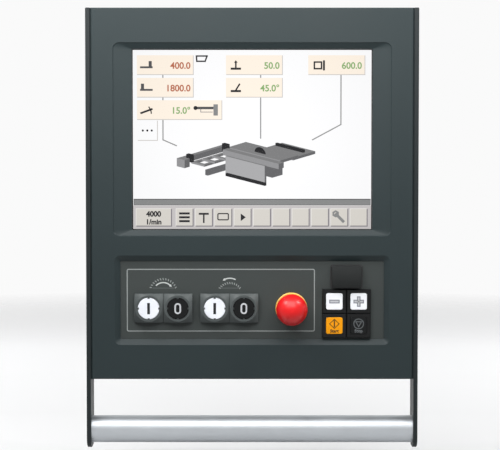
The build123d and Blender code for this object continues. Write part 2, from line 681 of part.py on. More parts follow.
def display_cable():
    """A flat cable from the back of the display through the carrier to its plug on the main board."""
    plug_middle = BOARD_BACK - CABLE_PLUG_THICK / 2
    corner = (CABLE_X, SCREEN_Y, plug_middle)
    end = (BOARD_LEFT + CABLE_PLUG_MARGIN, SCREEN_Y, plug_middle)
    route = FilletPolyline((CABLE_X, SCREEN_Y, MODULE_BACK), corner, end, radius=CABLE_BEND)
    section = Plane(origin=route @ 0, x_dir=(1, 0, 0), z_dir=route % 0) * Rectangle(CABLE_THICK, CABLE_WIDTH)
    return sweep(section, path=route)


# Electronics on the back of the carrier
def main_board():
    board = slab(BOARD_SIDE, BOARD_SIDE, BOARD_BACK, BOARD_FRONT, BOARD_X, SCREEN_Y)
    for x, y in BOARD_PLACES:
        board -= disc(INNER_SCREW_DIAMETER + 2 * HOLE_GAP, BOARD_BACK, BOARD_FRONT, x, y)
    return board


def board_standoff(x, y):
    post = hexagon(STANDOFF_ACROSS, BOARD_FRONT, CARRIER_BACK, x, y)
    return post - disc(INNER_SCREW_DIAMETER + 2 * THREAD_GAP, BOARD_FRONT, CARRIER_BACK, x, y)


def heat_sink():
    span = HEAT_SINK_SIDE - FIN_THICK
    sink = slab(HEAT_SINK_SIDE, HEAT_SINK_SIDE, BOARD_BACK - HEAT_SINK_BASE, BOARD_BACK, BOARD_X, SCREEN_Y)
    for fin in range(HEAT_SINK_FINS):
        x = BOARD_X - span / 2 + fin * span / (HEAT_SINK_FINS - 1)
        sink += slab(FIN_THICK, HEAT_SINK_SIDE, BOARD_BACK - HEAT_SINK_HEIGHT, BOARD_BACK, x, SCREEN_Y)
    return sink


def board_connectors():
    plug_x = BOARD_LEFT + CABLE_PLUG_MARGIN + CABLE_PLUG_LENGTH / 2
    plug_height = CABLE_WIDTH + CABLE_PLUG_THICK
    blocks = [
        slab(CABLE_PLUG_LENGTH, plug_height, BOARD_BACK - CABLE_PLUG_THICK, BOARD_BACK, plug_x, SCREEN_Y)
    ]
    row = sum(CONNECTOR_WIDTHS) + CONNECTOR_SPACING * (len(CONNECTOR_WIDTHS) - 1)
    x = BOARD_X - row / 2
    y = SCREEN_Y - BOARD_SIDE / 2 + CONNECTOR_HEIGHT / 2
    for width in CONNECTOR_WIDTHS:
        middle = x + width / 2
        blocks.append(slab(width, CONNECTOR_HEIGHT, BOARD_BACK - CONNECTOR_HEIGHT, BOARD_BACK, middle, y))
        x += width + CONNECTOR_SPACING
    return group(blocks)


def power_module():
    case = slab(POWER_WIDTH, POWER_HEIGHT, CARRIER_BACK - POWER_THICK, CARRIER_BACK, POWER_X, SCREEN_Y)
    return chamfer(case.faces().sort_by(Axis.Z)[0].edges(), POWER_EDGE)


def inner_screws():
    carrier = [inner_screw(CARRIER_BACK, x, y) for x, y in POST_PLACES]
    return group(carrier + [inner_screw(BOARD_BACK, x, y) for x, y in BOARD_PLACES])


# Switch plate
def control_plate():
    plate = slab(PLATE_WIDTH, PLATE_HEIGHT, PLATE_BACK, PLATE_FRONT, y=FIELD_Y)
    for x, y in SWITCH_PLACES:
        plate -= disc(BARREL_DIAMETER + 2 * BARREL_GAP, PLATE_BACK, PLATE_FRONT, x, y)
    for x, y in KEY_PLACES.values():
        plate -= disc(KEY_BARREL_DIAMETER + 2 * BARREL_GAP, PLATE_BACK, PLATE_FRONT, x, y)
    for x, y in STUD_PLACES:
        plate -= disc(STUD_DIAMETER + 2 * HOLE_GAP, PLATE_BACK, PLATE_FRONT, x, y)
    port_width = SOCKET_WIDTH + 2 * SOCKET_GAP
    port_height = SOCKET_HEIGHT + 2 * SOCKET_GAP
    return plate - slab(port_width, port_height, PLATE_BACK, PLATE_FRONT, KEY_X, PORT_Y)


def control_plate_gasket():
    hole_width = FIELD_WIDTH + FIELD_LIP
    hole_height = FIELD_HEIGHT + FIELD_LIP
    seal = frame(PLATE_WIDTH, PLATE_HEIGHT, hole_width, hole_height, PLATE_FRONT, FIELD_SEAT, FIELD_Y)
    for x, y in STUD_PLACES:
        seal -= disc(STUD_DIAMETER + 2 * HOLE_GAP, PLATE_FRONT, FIELD_SEAT, x, y)
    return seal


def control_plate_nut(x, y):
    nut = hexagon(STUD_NUT_ACROSS, PLATE_BACK - STUD_NUT_THICK, PLATE_BACK, x, y)
    return nut - disc(STUD_DIAMETER + 2 * THREAD_GAP, PLATE_BACK - STUD_NUT_THICK, PLATE_BACK, x, y)


# Round push buttons: drawn about their own axis, with z = 0 on the front of the switch plate
def button_collar():
    corner = COLLAR_SIDE / math.sqrt(2)
    rim = COLLAR_BORE / 2 + COLLAR_RIM_WALL
    slope = COLLAR_HEIGHT - COLLAR_FOOT
    cone = Pos(0, 0, COLLAR_FOOT + slope / 2) * Cone(corner, rim, slope)
    body = slab(COLLAR_SIDE, COLLAR_SIDE, 0, COLLAR_HEIGHT) & (cone + disc(2 * corner, 0, COLLAR_FOOT))
    body += disc(BARREL_DIAMETER, BARREL_BACK, 0)
    body -= disc(COLLAR_BORE, COLLAR_FLOOR, COLLAR_HEIGHT)
    body -= disc(BARREL_DIAMETER - 2 * BARREL_WALL, SPRING_FLOOR, COLLAR_FLOOR)
    body -= disc(STEM_DIAMETER + 2 * SLIDE_FIT, BARREL_BACK, SPRING_FLOOR)
    reach = NOTCH_DEPTH - LUG_GAP
    lug_x = (COLLAR_BORE - reach) / 2
    lug_width = NOTCH_WIDTH - 2 * LUG_GAP
    lug = slab(reach + BUTTON_GAP, lug_width, COLLAR_FLOOR, COLLAR_HEIGHT, lug_x)
    for turned in four_ways(lug):
        body += turned
    return body


def push_button():
    cap = disc(BUTTON_DIAMETER, BUTTON_BACK, COLLAR_HEIGHT)
    cap = chamfer(front_edges(cap), BUTTON_EDGE)
    notch = slab(2 * NOTCH_DEPTH, NOTCH_WIDTH, BUTTON_BACK, COLLAR_HEIGHT, BUTTON_DIAMETER / 2)
    for turned in four_ways(notch):
        cap -= turned
    return cap + disc(STEM_DIAMETER, BARREL_BACK - STEM_REACH, BUTTON_BACK)


def button_spring():
    """Return spring round the stem, between the barrel's end wall and the back of the button."""
    low = SPRING_FLOOR + SEAT_GAP + SPRING_WIRE / 2
    high = BUTTON_BACK - SEAT_GAP - SPRING_WIRE / 2
    pitch = (high - low) / SPRING_TURNS
    coil = Pos(0, 0, low) * Helix(pitch, high - low, SPRING_DIAMETER / 2)
    wire = Plane(origin=coil @ 0, z_dir=coil % 0) * Circle(SPRING_WIRE / 2)
    return sweep(wire, path=coil, is_frenet=True)


def button_springs():
    spring = button_spring()
    return group(on_plate(spring, x, BUTTON_Y) for x in BUTTON_PLACES.values())


def switch_lock_nut():
    back = -PLATE_THICK - LOCK_NUT_THICK
    diameter = COLLAR_SIDE - 2 * SWITCH_INSET
    nut = disc(diameter, back, -PLATE_THICK) - disc(BARREL_DIAMETER + 2 * THREAD_GAP, back, -PLATE_THICK)
    wrench_slot = slab(2 * WRENCH_SLOT_DEPTH, WRENCH_SLOT_WIDTH, back, -PLATE_THICK, diameter / 2)
    for turned in four_ways(wrench_slot):
        nut -= turned
    return nut


def contact_block(plunger_diameter, travel):
    width = COLLAR_SIDE - 2 * SWITCH_INSET
    block = slab(width, CONTACT_HEIGHT, BARREL_BACK - CONTACT_DEPTH, BARREL_BACK)
    bore_end = BARREL_BACK - STEM_REACH - travel - CONTACT_BORE_GAP
    return block - disc(plunger_diameter + 2 * CONTACT_BORE_GAP, bore_end, BARREL_BACK)


def switch_contact_blocks():
    button_block = contact_block(STEM_DIAMETER, BUTTON_TRAVEL)
    stop_block = contact_block(PLUNGER_DIAMETER, STOP_TRAVEL)
    blocks = [on_plate(button_block, x, BUTTON_Y) for x in BUTTON_PLACES.values()]
    return group(blocks + [on_plate(stop_block, STOP_X, STOP_Y)])


# Emergency stop
def stop_collar():
    body = disc(STOP_RING_DIAMETER, 0, STOP_RING_THICK)
    body = chamfer(front_edges(body), STOP_RING_EDGE)
    body += disc(STOP_NECK_DIAMETER, 0, STOP_NECK_HEIGHT)
    body += disc(BARREL_DIAMETER, BARREL_BACK, 0)
    return body - disc(PLUNGER_DIAMETER + 2 * SLIDE_FIT, BARREL_BACK, STOP_NECK_HEIGHT)


def stop_plunger():
    shoulder = STOP_HEAD_LIFT - SEAT_GAP
    stem = disc(PLUNGER_DIAMETER, BARREL_BACK - STEM_REACH, shoulder)
    return stem + disc(SPIGOT_DIAMETER, shoulder, STOP_HEAD_LIFT + SPIGOT_LENGTH)


def stop_head():
    radius = STOP_HEAD_DIAMETER / 2
    foot = STOP_HEAD_LIFT
    rim = foot + STOP_HEAD_RIM
    outline = Line((0, foot), (radius - STOP_HEAD_EDGE, foot))
    outline += Line((radius - STOP_HEAD_EDGE, foot), (radius, foot + STOP_HEAD_EDGE))
    outline += Line((radius, foot + STOP_HEAD_EDGE), (radius, rim))
    dome_radius = (radius**2 + STOP_HEAD_DOME**2) / (2 * STOP_HEAD_DOME)
    middle = rim + STOP_HEAD_DOME - dome_radius
    spring_angle = math.degrees(math.atan2(rim - middle, radius))
    outline += CenterArc((0, middle), dome_radius, spring_angle, 90 - spring_angle)
    outline += Line((0, rim + STOP_HEAD_DOME), (0, foot))
    head = revolve(Plane.XZ * make_face(outline), Axis.Z)
    return head - disc(SPIGOT_DIAMETER + 2 * SLIDE_FIT, foot, foot + SPIGOT_LENGTH + SPIGOT_SPARE)


# Square keys
def key_bezel():
    body = slab(BEZEL_SIDE, BEZEL_SIDE, 0, BEZEL_HEIGHT)
    body = chamfer(front_edges(body), BEZEL_EDGE)
    well = KEY_SIDE + 2 * KEY_GAP
    body -= prism(RectangleRounded(well, well, KEY_CORNER + KEY_GAP), BEZEL_FLOOR, BEZEL_HEIGHT)
    body += disc(KEY_BARREL_DIAMETER, KEY_BARREL_BACK, 0)
    return body - disc(KEY_STEM_DIAMETER + 2 * SLIDE_FIT, KEY_BARREL_BACK, BEZEL_FLOOR)


def square_key():
    key = prism(RectangleRounded(KEY_SIDE, KEY_SIDE, KEY_CORNER), KEY_BACK, KEY_FRONT)
    key = fillet(front_edges(key), KEY_EDGE)
    return key + disc(KEY_STEM_DIAMETER, KEY_BARREL_BACK - STEM_REACH, KEY_BACK)


def key_lock_nut():
    back = -PLATE_THICK - KEY_NUT_THICK
    nut = disc(BEZEL_SIDE - 2 * KEY_NUT_INSET, back, -PLATE_THICK)
    return nut - disc(KEY_BARREL_DIAMETER + 2 * THREAD_GAP, back, -PLATE_THICK)


def key_contact():
    side = BEZEL_SIDE - 2 * KEY_CONTACT_INSET
    body = slab(side, side, KEY_BARREL_BACK - KEY_CONTACT_DEPTH, KEY_BARREL_BACK)
    bore_end = KEY_BARREL_BACK - STEM_REACH - KEY_TRAVEL - CONTACT_BORE_GAP
    return body - disc(KEY_STEM_DIAMETER + 2 * CONTACT_BORE_GAP, bore_end, KEY_BARREL_BACK)


def key_board():
    front = PLATE_FRONT + KEY_BARREL_BACK - KEY_CONTACT_DEPTH
    side = 2 * (KEY_PITCH + KEY_BOARD_MARGIN)
    return slab(side, side, front - BOARD_THICK, front, KEY_X, KEY_Y)


def switch_lock_nuts():
    nuts = [on_plate(switch_lock_nut(), x, y) for x, y in SWITCH_PLACES]
    return group(nuts + [on_plate(key_lock_nut(), x, y) for x, y in KEY_PLACES.values()])


# Data port: drawn about the middle of its socket
def port_cap():
    side_view = Line((-CAP_TOP, CAP_REAR_GAP), (HINGE_RISE, CAP_REAR_GAP))
    side_view += CenterArc((HINGE_RISE, HINGE_LIFT), HINGE_RADIUS, -90, 90)
    side_view += Line((CAP_TOP, HINGE_LIFT), (CAP_TOP, CAP_TOP_LIFT))
    side_view += ThreePointArc((CAP_TOP, CAP_TOP_LIFT), (0, CAP_MIDDLE_LIFT), (-CAP_TOP, CAP_FOOT_LIFT))
    side_view += Line((-CAP_TOP, CAP_FOOT_LIFT), (-CAP_TOP, CAP_REAR_GAP))
    front_view = make_face(
        Polyline(
            (-CAP_FOOT_WIDTH / 2, -CAP_TOP),
            (CAP_FOOT_WIDTH / 2, -CAP_TOP),
            (CAP_TOP_WIDTH / 2, CAP_TOP),
            (-CAP_TOP_WIDTH / 2, CAP_TOP),
            close=True,
        )
    )
    front_view = fillet(front_view.vertices(), CAP_CORNER)
    cap = across(side_view, CAP_TOP_WIDTH) & prism(front_view, 0, CAP_FOOT_LIFT + CAP_MIDDLE_LIFT)
    cap = fillet(front_edges(cap), CAP_EDGE)
    pocket_height = POCKET_TOP - POCKET_FOOT
    cap -= slab(2 * POCKET_HALF, pocket_height, 0, POCKET_LIFT, y=POCKET_FOOT + pocket_height / 2)
    for side in (-1, 1):
        cap -= ear_room(side)
    bore = HINGE_PIN_DIAMETER + 2 * SLIDE_FIT
    return cap - spindle(bore, -HINGE_INNER, HINGE_INNER, HINGE_RISE, HINGE_LIFT)


def ear_room(side):
    """Room in the cap for one ear of the frame, open at its end, its top and its back."""
    inner = HINGE_INNER - HINGE_GAP
    width = CAP_TOP_WIDTH / 2 - inner
    height = CAP_TOP - POCKET_TOP
    middle = side * (inner + width / 2)
    return slab(width, height, 0, HINGE_LIFT + HINGE_CLEAR, middle, POCKET_TOP + height / 2)


def port_frame():
    height = FRAME_TOP - FRAME_FOOT
    half = HINGE_INNER + PORT_ARM
    body = slab(2 * half, height, 0, PORT_FRAME_THICK, y=FRAME_FOOT + height / 2)
    rim = RectangleRounded(CAP_TOP_WIDTH + 2 * PORT_RIM, CAP_HEIGHT + 2 * PORT_RIM, CAP_CORNER + PORT_RIM)
    body += prism(rim, 0, PORT_RIM_THICK)
    body -= slab(SOCKET_WIDTH + 2 * SOCKET_GAP, SOCKET_HEIGHT + 2 * SOCKET_GAP, 0, PORT_FRAME_THICK)
    arm_height = HINGE_RISE - FRAME_FOOT
    for side in (-1, 1):
        arm_x = side * (half - PORT_ARM / 2)
        body += slab(PORT_ARM, arm_height, 0, HINGE_LIFT, arm_x, FRAME_FOOT + arm_height / 2)
        start, stop = sorted((side * HINGE_INNER, side * HINGE_OUTER))
        body += spindle(2 * HINGE_RADIUS, start, stop, HINGE_RISE, HINGE_LIFT)
    bore = HINGE_PIN_DIAMETER + 2 * THREAD_GAP
    return body - spindle(bore, -HINGE_OUTER, HINGE_OUTER, HINGE_RISE, HINGE_LIFT)


def hinge_pin():
    return spindle(HINGE_PIN_DIAMETER, -HINGE_OUTER, HINGE_OUTER, HINGE_RISE, HINGE_LIFT)


def port_socket():
    """The metal shell of the socket with its contact tongue, open to the front."""
    back = PORT_FRAME_THICK - SOCKET_LENGTH
    shell = slab(SOCKET_WIDTH, SOCKET_HEIGHT, back, PORT_FRAME_THICK)
    floor = back + SOCKET_WALL
    inner_width = SOCKET_WIDTH - 2 * SOCKET_WALL
    shell -= slab(inner_width, SOCKET_HEIGHT - 2 * SOCKET_WALL, floor, PORT_FRAME_THICK)
    return shell + slab(TONGUE_WIDTH, TONGUE_THICK, back, PORT_FRAME_THICK - TONGUE_SETBACK, y=TONGUE_RISE)


# Mount plate, tilting knuckle and clamp lever
def mount_plate():
    outline = RectangleRounded(MOUNT_SIDE, MOUNT_SIDE, MOUNT_CORNER)
    body = prism(outline, MOUNT_BACK, -HOUSING_DEPTH)
    for x, y in MOUNT_PLACES:
        body -= disc(MOUNT_SCREW_DIAMETER + 2 * HOLE_GAP, MOUNT_BACK, -HOUSING_DEPTH, x, y)
    for side in (-1, 1):
        start, stop = sorted((side * EAR_GAP / 2, side * EAR_OUTSIDE))
        body += slab(EAR_THICK, 2 * EAR_RADIUS, PIVOT_Z, MOUNT_BACK, (start + stop) / 2)
        body += spindle(2 * EAR_RADIUS, start, stop, 0, PIVOT_Z)
    return body - spindle(TILT_BOLT_DIAMETER + 2 * HOLE_GAP, -EAR_OUTSIDE, EAR_OUTSIDE, 0, PIVOT_Z)


def tilt_knuckle():
    half = EAR_GAP / 2 - WASHER_THICK - SEAT_GAP
    flange_front = FLANGE_BACK + FLANGE_THICK
    flange = disc(FLANGE_BOLT_CIRCLE + 2 * FLANGE_MARGIN, FLANGE_BACK, flange_front)
    body = chamfer(front_edges(flange), FLANGE_EDGE)
    body += slab(2 * half, NECK_HEIGHT, flange_front, PIVOT_Z)
    body += spindle(2 * KNUCKLE_RADIUS, -half, half, 0, PIVOT_Z)
    for hole in range(FLANGE_HOLES):
        angle = math.radians((hole + 0.5) * 360 / FLANGE_HOLES)
        x = FLANGE_BOLT_CIRCLE / 2 * math.cos(angle)
        y = FLANGE_BOLT_CIRCLE / 2 * math.sin(angle)
        body -= disc(FLANGE_HOLE_DIAMETER, FLANGE_BACK, flange_front, x, y)
    return body - spindle(TILT_BOLT_DIAMETER + 2 * TILT_FIT, -half, half, 0, PIVOT_Z)


def tilt_washer(side):
    start, stop = sorted((side * EAR_GAP / 2, side * (EAR_GAP / 2 - WASHER_THICK)))
    ring = spindle(WASHER_DIAMETER, start, stop, 0, PIVOT_Z)
    return ring - spindle(TILT_BOLT_DIAMETER + 2 * HOLE_GAP, start, stop, 0, PIVOT_Z)


def tilt_bolt():
    shank = spindle(TILT_BOLT_DIAMETER, -EAR_OUTSIDE, EAR_OUTSIDE, 0, PIVOT_Z)
    shank += spindle(LEVER_THREAD_DIAMETER, EAR_OUTSIDE, EAR_OUTSIDE + LEVER_THREAD_LENGTH, 0, PIVOT_Z)
    head = Rot(0, -90, 0) * hexagon(TILT_BOLT_HEAD, 0, TILT_BOLT_HEAD_THICK)
    return shank + Pos(-EAR_OUTSIDE, 0, PIVOT_Z) * head


def clamp_lever():
    start = EAR_OUTSIDE + LEVER_GAP
    hub = spindle(LEVER_HUB_DIAMETER, start, start + LEVER_HUB_LENGTH, 0, PIVOT_Z)
    hub = fillet(hub.faces().sort_by(Axis.X)[-1].edges(), LEVER_HUB_EDGE)
    lean = math.radians(LEVER_LEAN)
    along = Plane(
        origin=(start + LEVER_HUB_LENGTH / 2, 0, PIVOT_Z),
        x_dir=(0, 0, 1),
        z_dir=(math.sin(lean), -math.cos(lean), 0),
    )
    arm = Pos(0, 0, LEVER_LENGTH / 2) * Cone(LEVER_ROOT_DIAMETER / 2, LEVER_NECK_DIAMETER / 2, LEVER_LENGTH)
    arm += Pos(0, 0, LEVER_LENGTH) * Sphere(LEVER_TIP_DIAMETER / 2)
    body = hub + along.location * arm
    bore = LEVER_THREAD_DIAMETER + 2 * TILT_FIT
    return body - spindle(bore, start, start + LEVER_THREAD_LENGTH, 0, PIVOT_Z)


# Cable gland
def cable_gland():
    hex_back = -HOUSING_DEPTH - GLAND_HEX_THICK
    tip = SHELL_WALL + GLAND_NUT_THICK + GLAND_THREAD_TIP - HOUSING_DEPTH
    cap = disc(GLAND_CAP_DIAMETER, hex_back - GLAND_CAP_LENGTH, hex_back)
    cap = fillet(cap.faces().sort_by(Axis.Z)[0].edges(), GLAND_CAP_EDGE)
    body = cap + hexagon(GLAND_HEX, hex_back, -HOUSING_DEPTH) + disc(GLAND_THREAD, -HOUSING_DEPTH, tip)
    return Pos(GLAND_X, -GLAND_DROP, 0) * (body - disc(GLAND_BORE, hex_back - GLAND_CAP_LENGTH, tip))


def gland_lock_nut():
    seat = SHELL_WALL - HOUSING_DEPTH
    nut = hexagon(GLAND_NUT_ACROSS, seat, seat + GLAND_NUT_THICK)
    nut -= disc(GLAND_THREAD + 2 * THREAD_GAP, seat, seat + GLAND_NUT_THICK)
    return Pos(GLAND_X, -GLAND_DROP, 0) * nut


def housing_nodes():
    sides = (-1, 1)
    places = side_screw_places()
    screw = side_screw()
    return {
        "front_panel": front_panel(),
        "left_side_plate": side_plate(-1),
        "right_side_plate": side_plate(1),
        "rear_shell": rear_shell(),
        "shell_gasket": shell_gasket(),
        "side_plate_screws": group(outward(side, y, z) * screw for side in sides for y, z in places),
        "grab_bar": grab_bar(),
        "bar_end_plugs": group(bar_end_plug(side) for side in sides),
        "bar_screws": group(outward(side, BAR_Y, BAR_Z) * bar_screw() for side in sides),
    }


def display_nodes():
    return {
        "screen_gasket": screen_gasket(),
        "touch_glass": touch_glass(),
        "display_cell": display_cell(),
        "display_module": display_module(),
        "display_carrier": display_carrier(),
        "display_cable": display_cable(),
        "main_board": main_board(),
        "board_standoffs": group(board_standoff(x, y) for x, y in BOARD_PLACES),
        "board_connectors": board_connectors(),
        "heat_sink": heat_sink(),
        "power_module": power_module(),
        "inner_screws": inner_screws(),
    }


def switch_nodes():
    nodes = {
        "control_plate": control_plate(),
        "control_plate_gasket": control_plate_gasket(),
        "control_plate_nuts": group(control_plate_nut(x, y) for x, y in STUD_PLACES),
        "button_springs": button_springs(),
        "switch_lock_nuts": switch_lock_nuts(),
        "switch_contact_blocks": switch_contact_blocks(),
        "e_stop_collar": on_plate(stop_collar(), STOP_X, STOP_Y),
        "e_stop_plunger": on_plate(stop_plunger(), STOP_X, STOP_Y),
        "e_stop_head": on_plate(stop_head(), STOP_X, STOP_Y),
        "key_contacts": group(on_plate(key_contact(), x, y) for x, y in KEY_PLACES.values()),
        "key_board": key_board(),
        "data_port_frame": on_plate(port_frame(), KEY_X, PORT_Y),
        "data_port_socket": on_plate(port_socket(), KEY_X, PORT_Y),
        "data_port_cap": on_plate(port_cap(), KEY_X, PORT_Y),
        "data_port_hinge_pin": on_plate(hinge_pin(), KEY_X, PORT_Y),
    }
    for name, x in BUTTON_PLACES.items():
        nodes[name + "_collar"] = on_plate(button_collar(), x, BUTTON_Y)
        nodes[name + "_button"] = on_plate(push_button(), x, BUTTON_Y)
    for name, (x, y) in KEY_PLACES.items():
        nodes[name + "_bezel"] = on_plate(key_bezel(), x, y)
        nodes[name] = on_plate(square_key(), x, y)
    return nodes


def rear_nodes():
    return {
        "mount_plate": mount_plate(),
        "mount_screws": group(mount_screw(x, y) for x, y in MOUNT_PLACES),
        "tilt_knuckle": tilt_knuckle(),
        "tilt_bolt": tilt_bolt(),
        "tilt_washers": group(tilt_washer(side) for side in (-1, 1)),
        "clamp_lever": clamp_lever(),
        "cable_gland": cable_gland(),
        "gland_lock_nut": gland_lock_nut(),
    }


def main():
    os.makedirs("parts", exist_ok=True)
    nodes = {**housing_nodes(), **display_nodes(), **switch_nodes(), **rear_nodes()}
    for name, piece in nodes.items():
        export_step(stand_up(piece), f"parts/{name}.step")
    print(len(nodes), "nodes")


main()
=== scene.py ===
import math

import bmesh
import bpy
from mathutils import Matrix, Vector


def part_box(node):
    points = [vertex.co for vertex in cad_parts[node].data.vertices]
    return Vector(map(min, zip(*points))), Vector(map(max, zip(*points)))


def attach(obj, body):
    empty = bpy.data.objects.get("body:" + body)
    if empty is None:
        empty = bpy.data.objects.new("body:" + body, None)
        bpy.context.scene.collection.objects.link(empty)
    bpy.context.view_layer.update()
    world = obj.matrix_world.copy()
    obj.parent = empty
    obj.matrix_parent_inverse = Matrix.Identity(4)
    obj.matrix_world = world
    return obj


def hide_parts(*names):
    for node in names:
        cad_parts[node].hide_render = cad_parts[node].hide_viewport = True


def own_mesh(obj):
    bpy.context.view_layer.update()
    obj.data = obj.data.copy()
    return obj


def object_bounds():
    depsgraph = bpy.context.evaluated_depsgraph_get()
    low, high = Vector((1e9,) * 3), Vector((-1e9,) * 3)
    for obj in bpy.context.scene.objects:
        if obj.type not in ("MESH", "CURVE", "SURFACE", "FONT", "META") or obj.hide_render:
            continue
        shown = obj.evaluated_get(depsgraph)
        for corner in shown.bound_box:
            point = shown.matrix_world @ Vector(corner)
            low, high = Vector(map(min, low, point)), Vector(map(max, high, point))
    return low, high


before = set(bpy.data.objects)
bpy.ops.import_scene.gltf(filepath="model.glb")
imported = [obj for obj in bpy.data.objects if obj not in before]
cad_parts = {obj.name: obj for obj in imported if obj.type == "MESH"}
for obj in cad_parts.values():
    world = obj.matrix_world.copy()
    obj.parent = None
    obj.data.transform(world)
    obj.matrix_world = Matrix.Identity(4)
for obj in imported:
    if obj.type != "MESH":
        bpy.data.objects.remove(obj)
cad_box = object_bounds()

# Operator panel of a sliding table saw: finishes for the CAD pieces, the printed marks, the screen's page
# and the return springs. The part's own frame is in metres. Marks are drawn in mm, across and up.
MM = 0.001
UPRIGHT = Matrix.Rotation(math.radians(90), 4, "X")
ALL_WAYS = (1, 1, 1)
SAWS = ("main_saw", "scoring_saw")
SWITCHES = ("main_saw_on", "main_saw_off", "scoring_saw_on", "scoring_saw_off")
KEYS = ("minus_key", "plus_key", "start_key", "stop_key")


def shade(red, green, blue):
    """A colour in steps of 255, as a picture shows it, turned into linear light by the sRGB curve."""
    steps = [step / 255 for step in (red, green, blue)]
    return (*(s / 12.92 if s <= 0.04045 else ((s + 0.055) / 1.055) ** 2.4 for s in steps), 1.0)


def dimmed(colour, share):
    return (*(part * share for part in colour[:3]), 1.0)


# Shader nodes
WAVE_LENGTH = math.pi / 10  # of a wave texture at scale 1
CLOUD_LIMITS = (0.3, 0.7)  # most noise lies between these
NO_LIGHT = (0, 0, 0, 1)


class Wire:
    """A value inside a finish. Arithmetic on it adds Math nodes."""

    def __init__(self, finish, socket):
        self.finish = finish
        self.socket = socket

    def math(self, operation, *values):
        return self.finish.node("Math", {"operation": operation}, dict(enumerate(values)))

    def __add__(self, other):
        return self.math("ADD", self, other)

    def __sub__(self, other):
        return self.math("SUBTRACT", self, other)

    def __rsub__(self, other):
        return self.math("SUBTRACT", other, self)

    def __mul__(self, other):
        return self.math("MULTIPLY", self, other)

    def __gt__(self, other):
        return self.math("GREATER_THAN", self, other)

    __radd__ = __add__
    __rmul__ = __mul__

    def swing(self, spread):
        """A value from 0 to 1, moved to lie evenly about 0 over this spread."""
        return (self - 0.5) * spread


class Finish:
    """A node tree round one shader: a material's, or the sky's."""

    def __init__(self, holder, shader, fixed):
        holder.use_nodes = True
        self.holder = holder
        self.tree = holder.node_tree
        self.shader = self.tree.nodes[shader]
        self.dress(fixed)

    def dress(self, sockets):
        for name, value in sockets.items():
            self.feed(self.shader.inputs[name], value)

    def feed(self, socket, value):
        if isinstance(value, Wire):
            self.tree.links.new(value.socket, socket)
        else:
            socket.default_value = value

    def node(self, kind, settings=None, sockets=None, out=0):
        made = self.tree.nodes.new("ShaderNode" + kind)
        for name, value in (settings or {}).items():
            setattr(made, name, value)
        for name, value in (sockets or {}).items():
            self.feed(made.inputs[name], value)
        return Wire(self, made.outputs[out])

    def place(self, stretch=ALL_WAYS):
        """A point's place on the part in metres, stretched."""
        spot = self.node("TexCoord", out="Object")
        return self.node("VectorMath", {"operation": "MULTIPLY"}, {0: spot, 1: stretch})

    def distance(self, point, stretch=ALL_WAYS):
        """How far a point's place, stretched, is from another point, in metres."""
        sockets = {0: self.place(stretch), 1: point}
        return self.node("VectorMath", {"operation": "DISTANCE"}, sockets, out="Value")

    def seen(self):
        """1 for what the camera sees, also in a reflection or through glass, and 0 for stray light."""
        kinds = ("Camera", "Glossy", "Transmission")
        rays = [self.node("LightPath", out=f"Is {kind} Ray") for kind in kinds]
        return self.contrast(sum(rays), 0, 1)

    def contrast(self, value, low, high):
        """Spreads the part of a value between two limits over 0 to 1."""
        return self.node("MapRange", sockets={"Value": value, "From Min": low, "From Max": high})

    def grain(self, size, detail, stretch=ALL_WAYS):
        """Noise from 0 to 1, in grains of about this size in mm."""
        sockets = {"Vector": self.place(stretch), "Scale": 1 / (size * MM), "Detail": detail}
        return self.node("TexNoise", sockets=sockets)

    def clouds(self, size, detail, stretch=ALL_WAYS, limits=CLOUD_LIMITS):
        """Grain with the part between two limits spread over 0 to 1."""
        return self.contrast(self.grain(size, detail, stretch), *limits)

    def bands(self, pitch, direction):
        """Even bands from 0 to 1 across one direction, with this pitch in mm."""
        settings = {"wave_type": "BANDS", "bands_direction": direction}
        sockets = {"Vector": self.place(), "Scale": WAVE_LENGTH / (pitch * MM)}
        return self.node("TexWave", settings, sockets)

    def mix(self, low, high, share):
        """A colour between two others."""
        return self.node("Mix", {"data_type": "RGBA"}, {0: share, 6: low, 7: high}, out=2)

    def tones(self, colour, low, high, share):
        """A colour that goes from one share of its light to another."""
        return self.mix(dimmed(colour, low), dimmed(colour, high), share)

    def relief(self, height, depth):
        """Bumps of this depth in mm."""
        self.dress({"Normal": self.node("Bump", sockets={"Height": height, "Distance": depth * MM})})


# Finishes, with sizes and depths in mm
def surface(name, fixed):
    return Finish(bpy.data.materials.new(name), "Principled BSDF", fixed)


def coated(name, colour, peel_size, peel_depth, roughness):
    """Powder coat: a fine orange peel, with its colour and gloss drifting a little over a hand's width."""
    paint = surface(name, {"Specular IOR Level": 0.28})
    drift = paint.clouds(size=90, detail=3)
    peel = paint.grain(peel_size, detail=2)
    speck = paint.contrast(peel, low=0.35, high=0.65)
    paint.dress({
        "Base Color": paint.tones(colour, low=0.94, high=1.06, share=(drift + speck) * 0.5),
        "Roughness": roughness + drift.swing(0.06) + speck.swing(0.08),
    })
    paint.relief(peel, peel_depth)
    return paint


def moulded(name, colour, roughness, shine=0.5, coat=0.0, coat_roughness=0.12, grain_depth=0.012):
    """Moulded plastic: a fine eroded grain and slightly cloudy colour."""
    plastic = surface(name, {
        "Specular IOR Level": shine,
        "Coat Weight": coat,
        "Coat Roughness": coat_roughness,
    })
    cloud = plastic.clouds(size=14, detail=3)
    plastic.dress({
        "Base Color": plastic.tones(colour, low=0.95, high=1.04, share=cloud),
        "Roughness": roughness + cloud.swing(0.08),
    })
    plastic.relief(plastic.grain(size=0.5, detail=1), grain_depth)
    return plastic


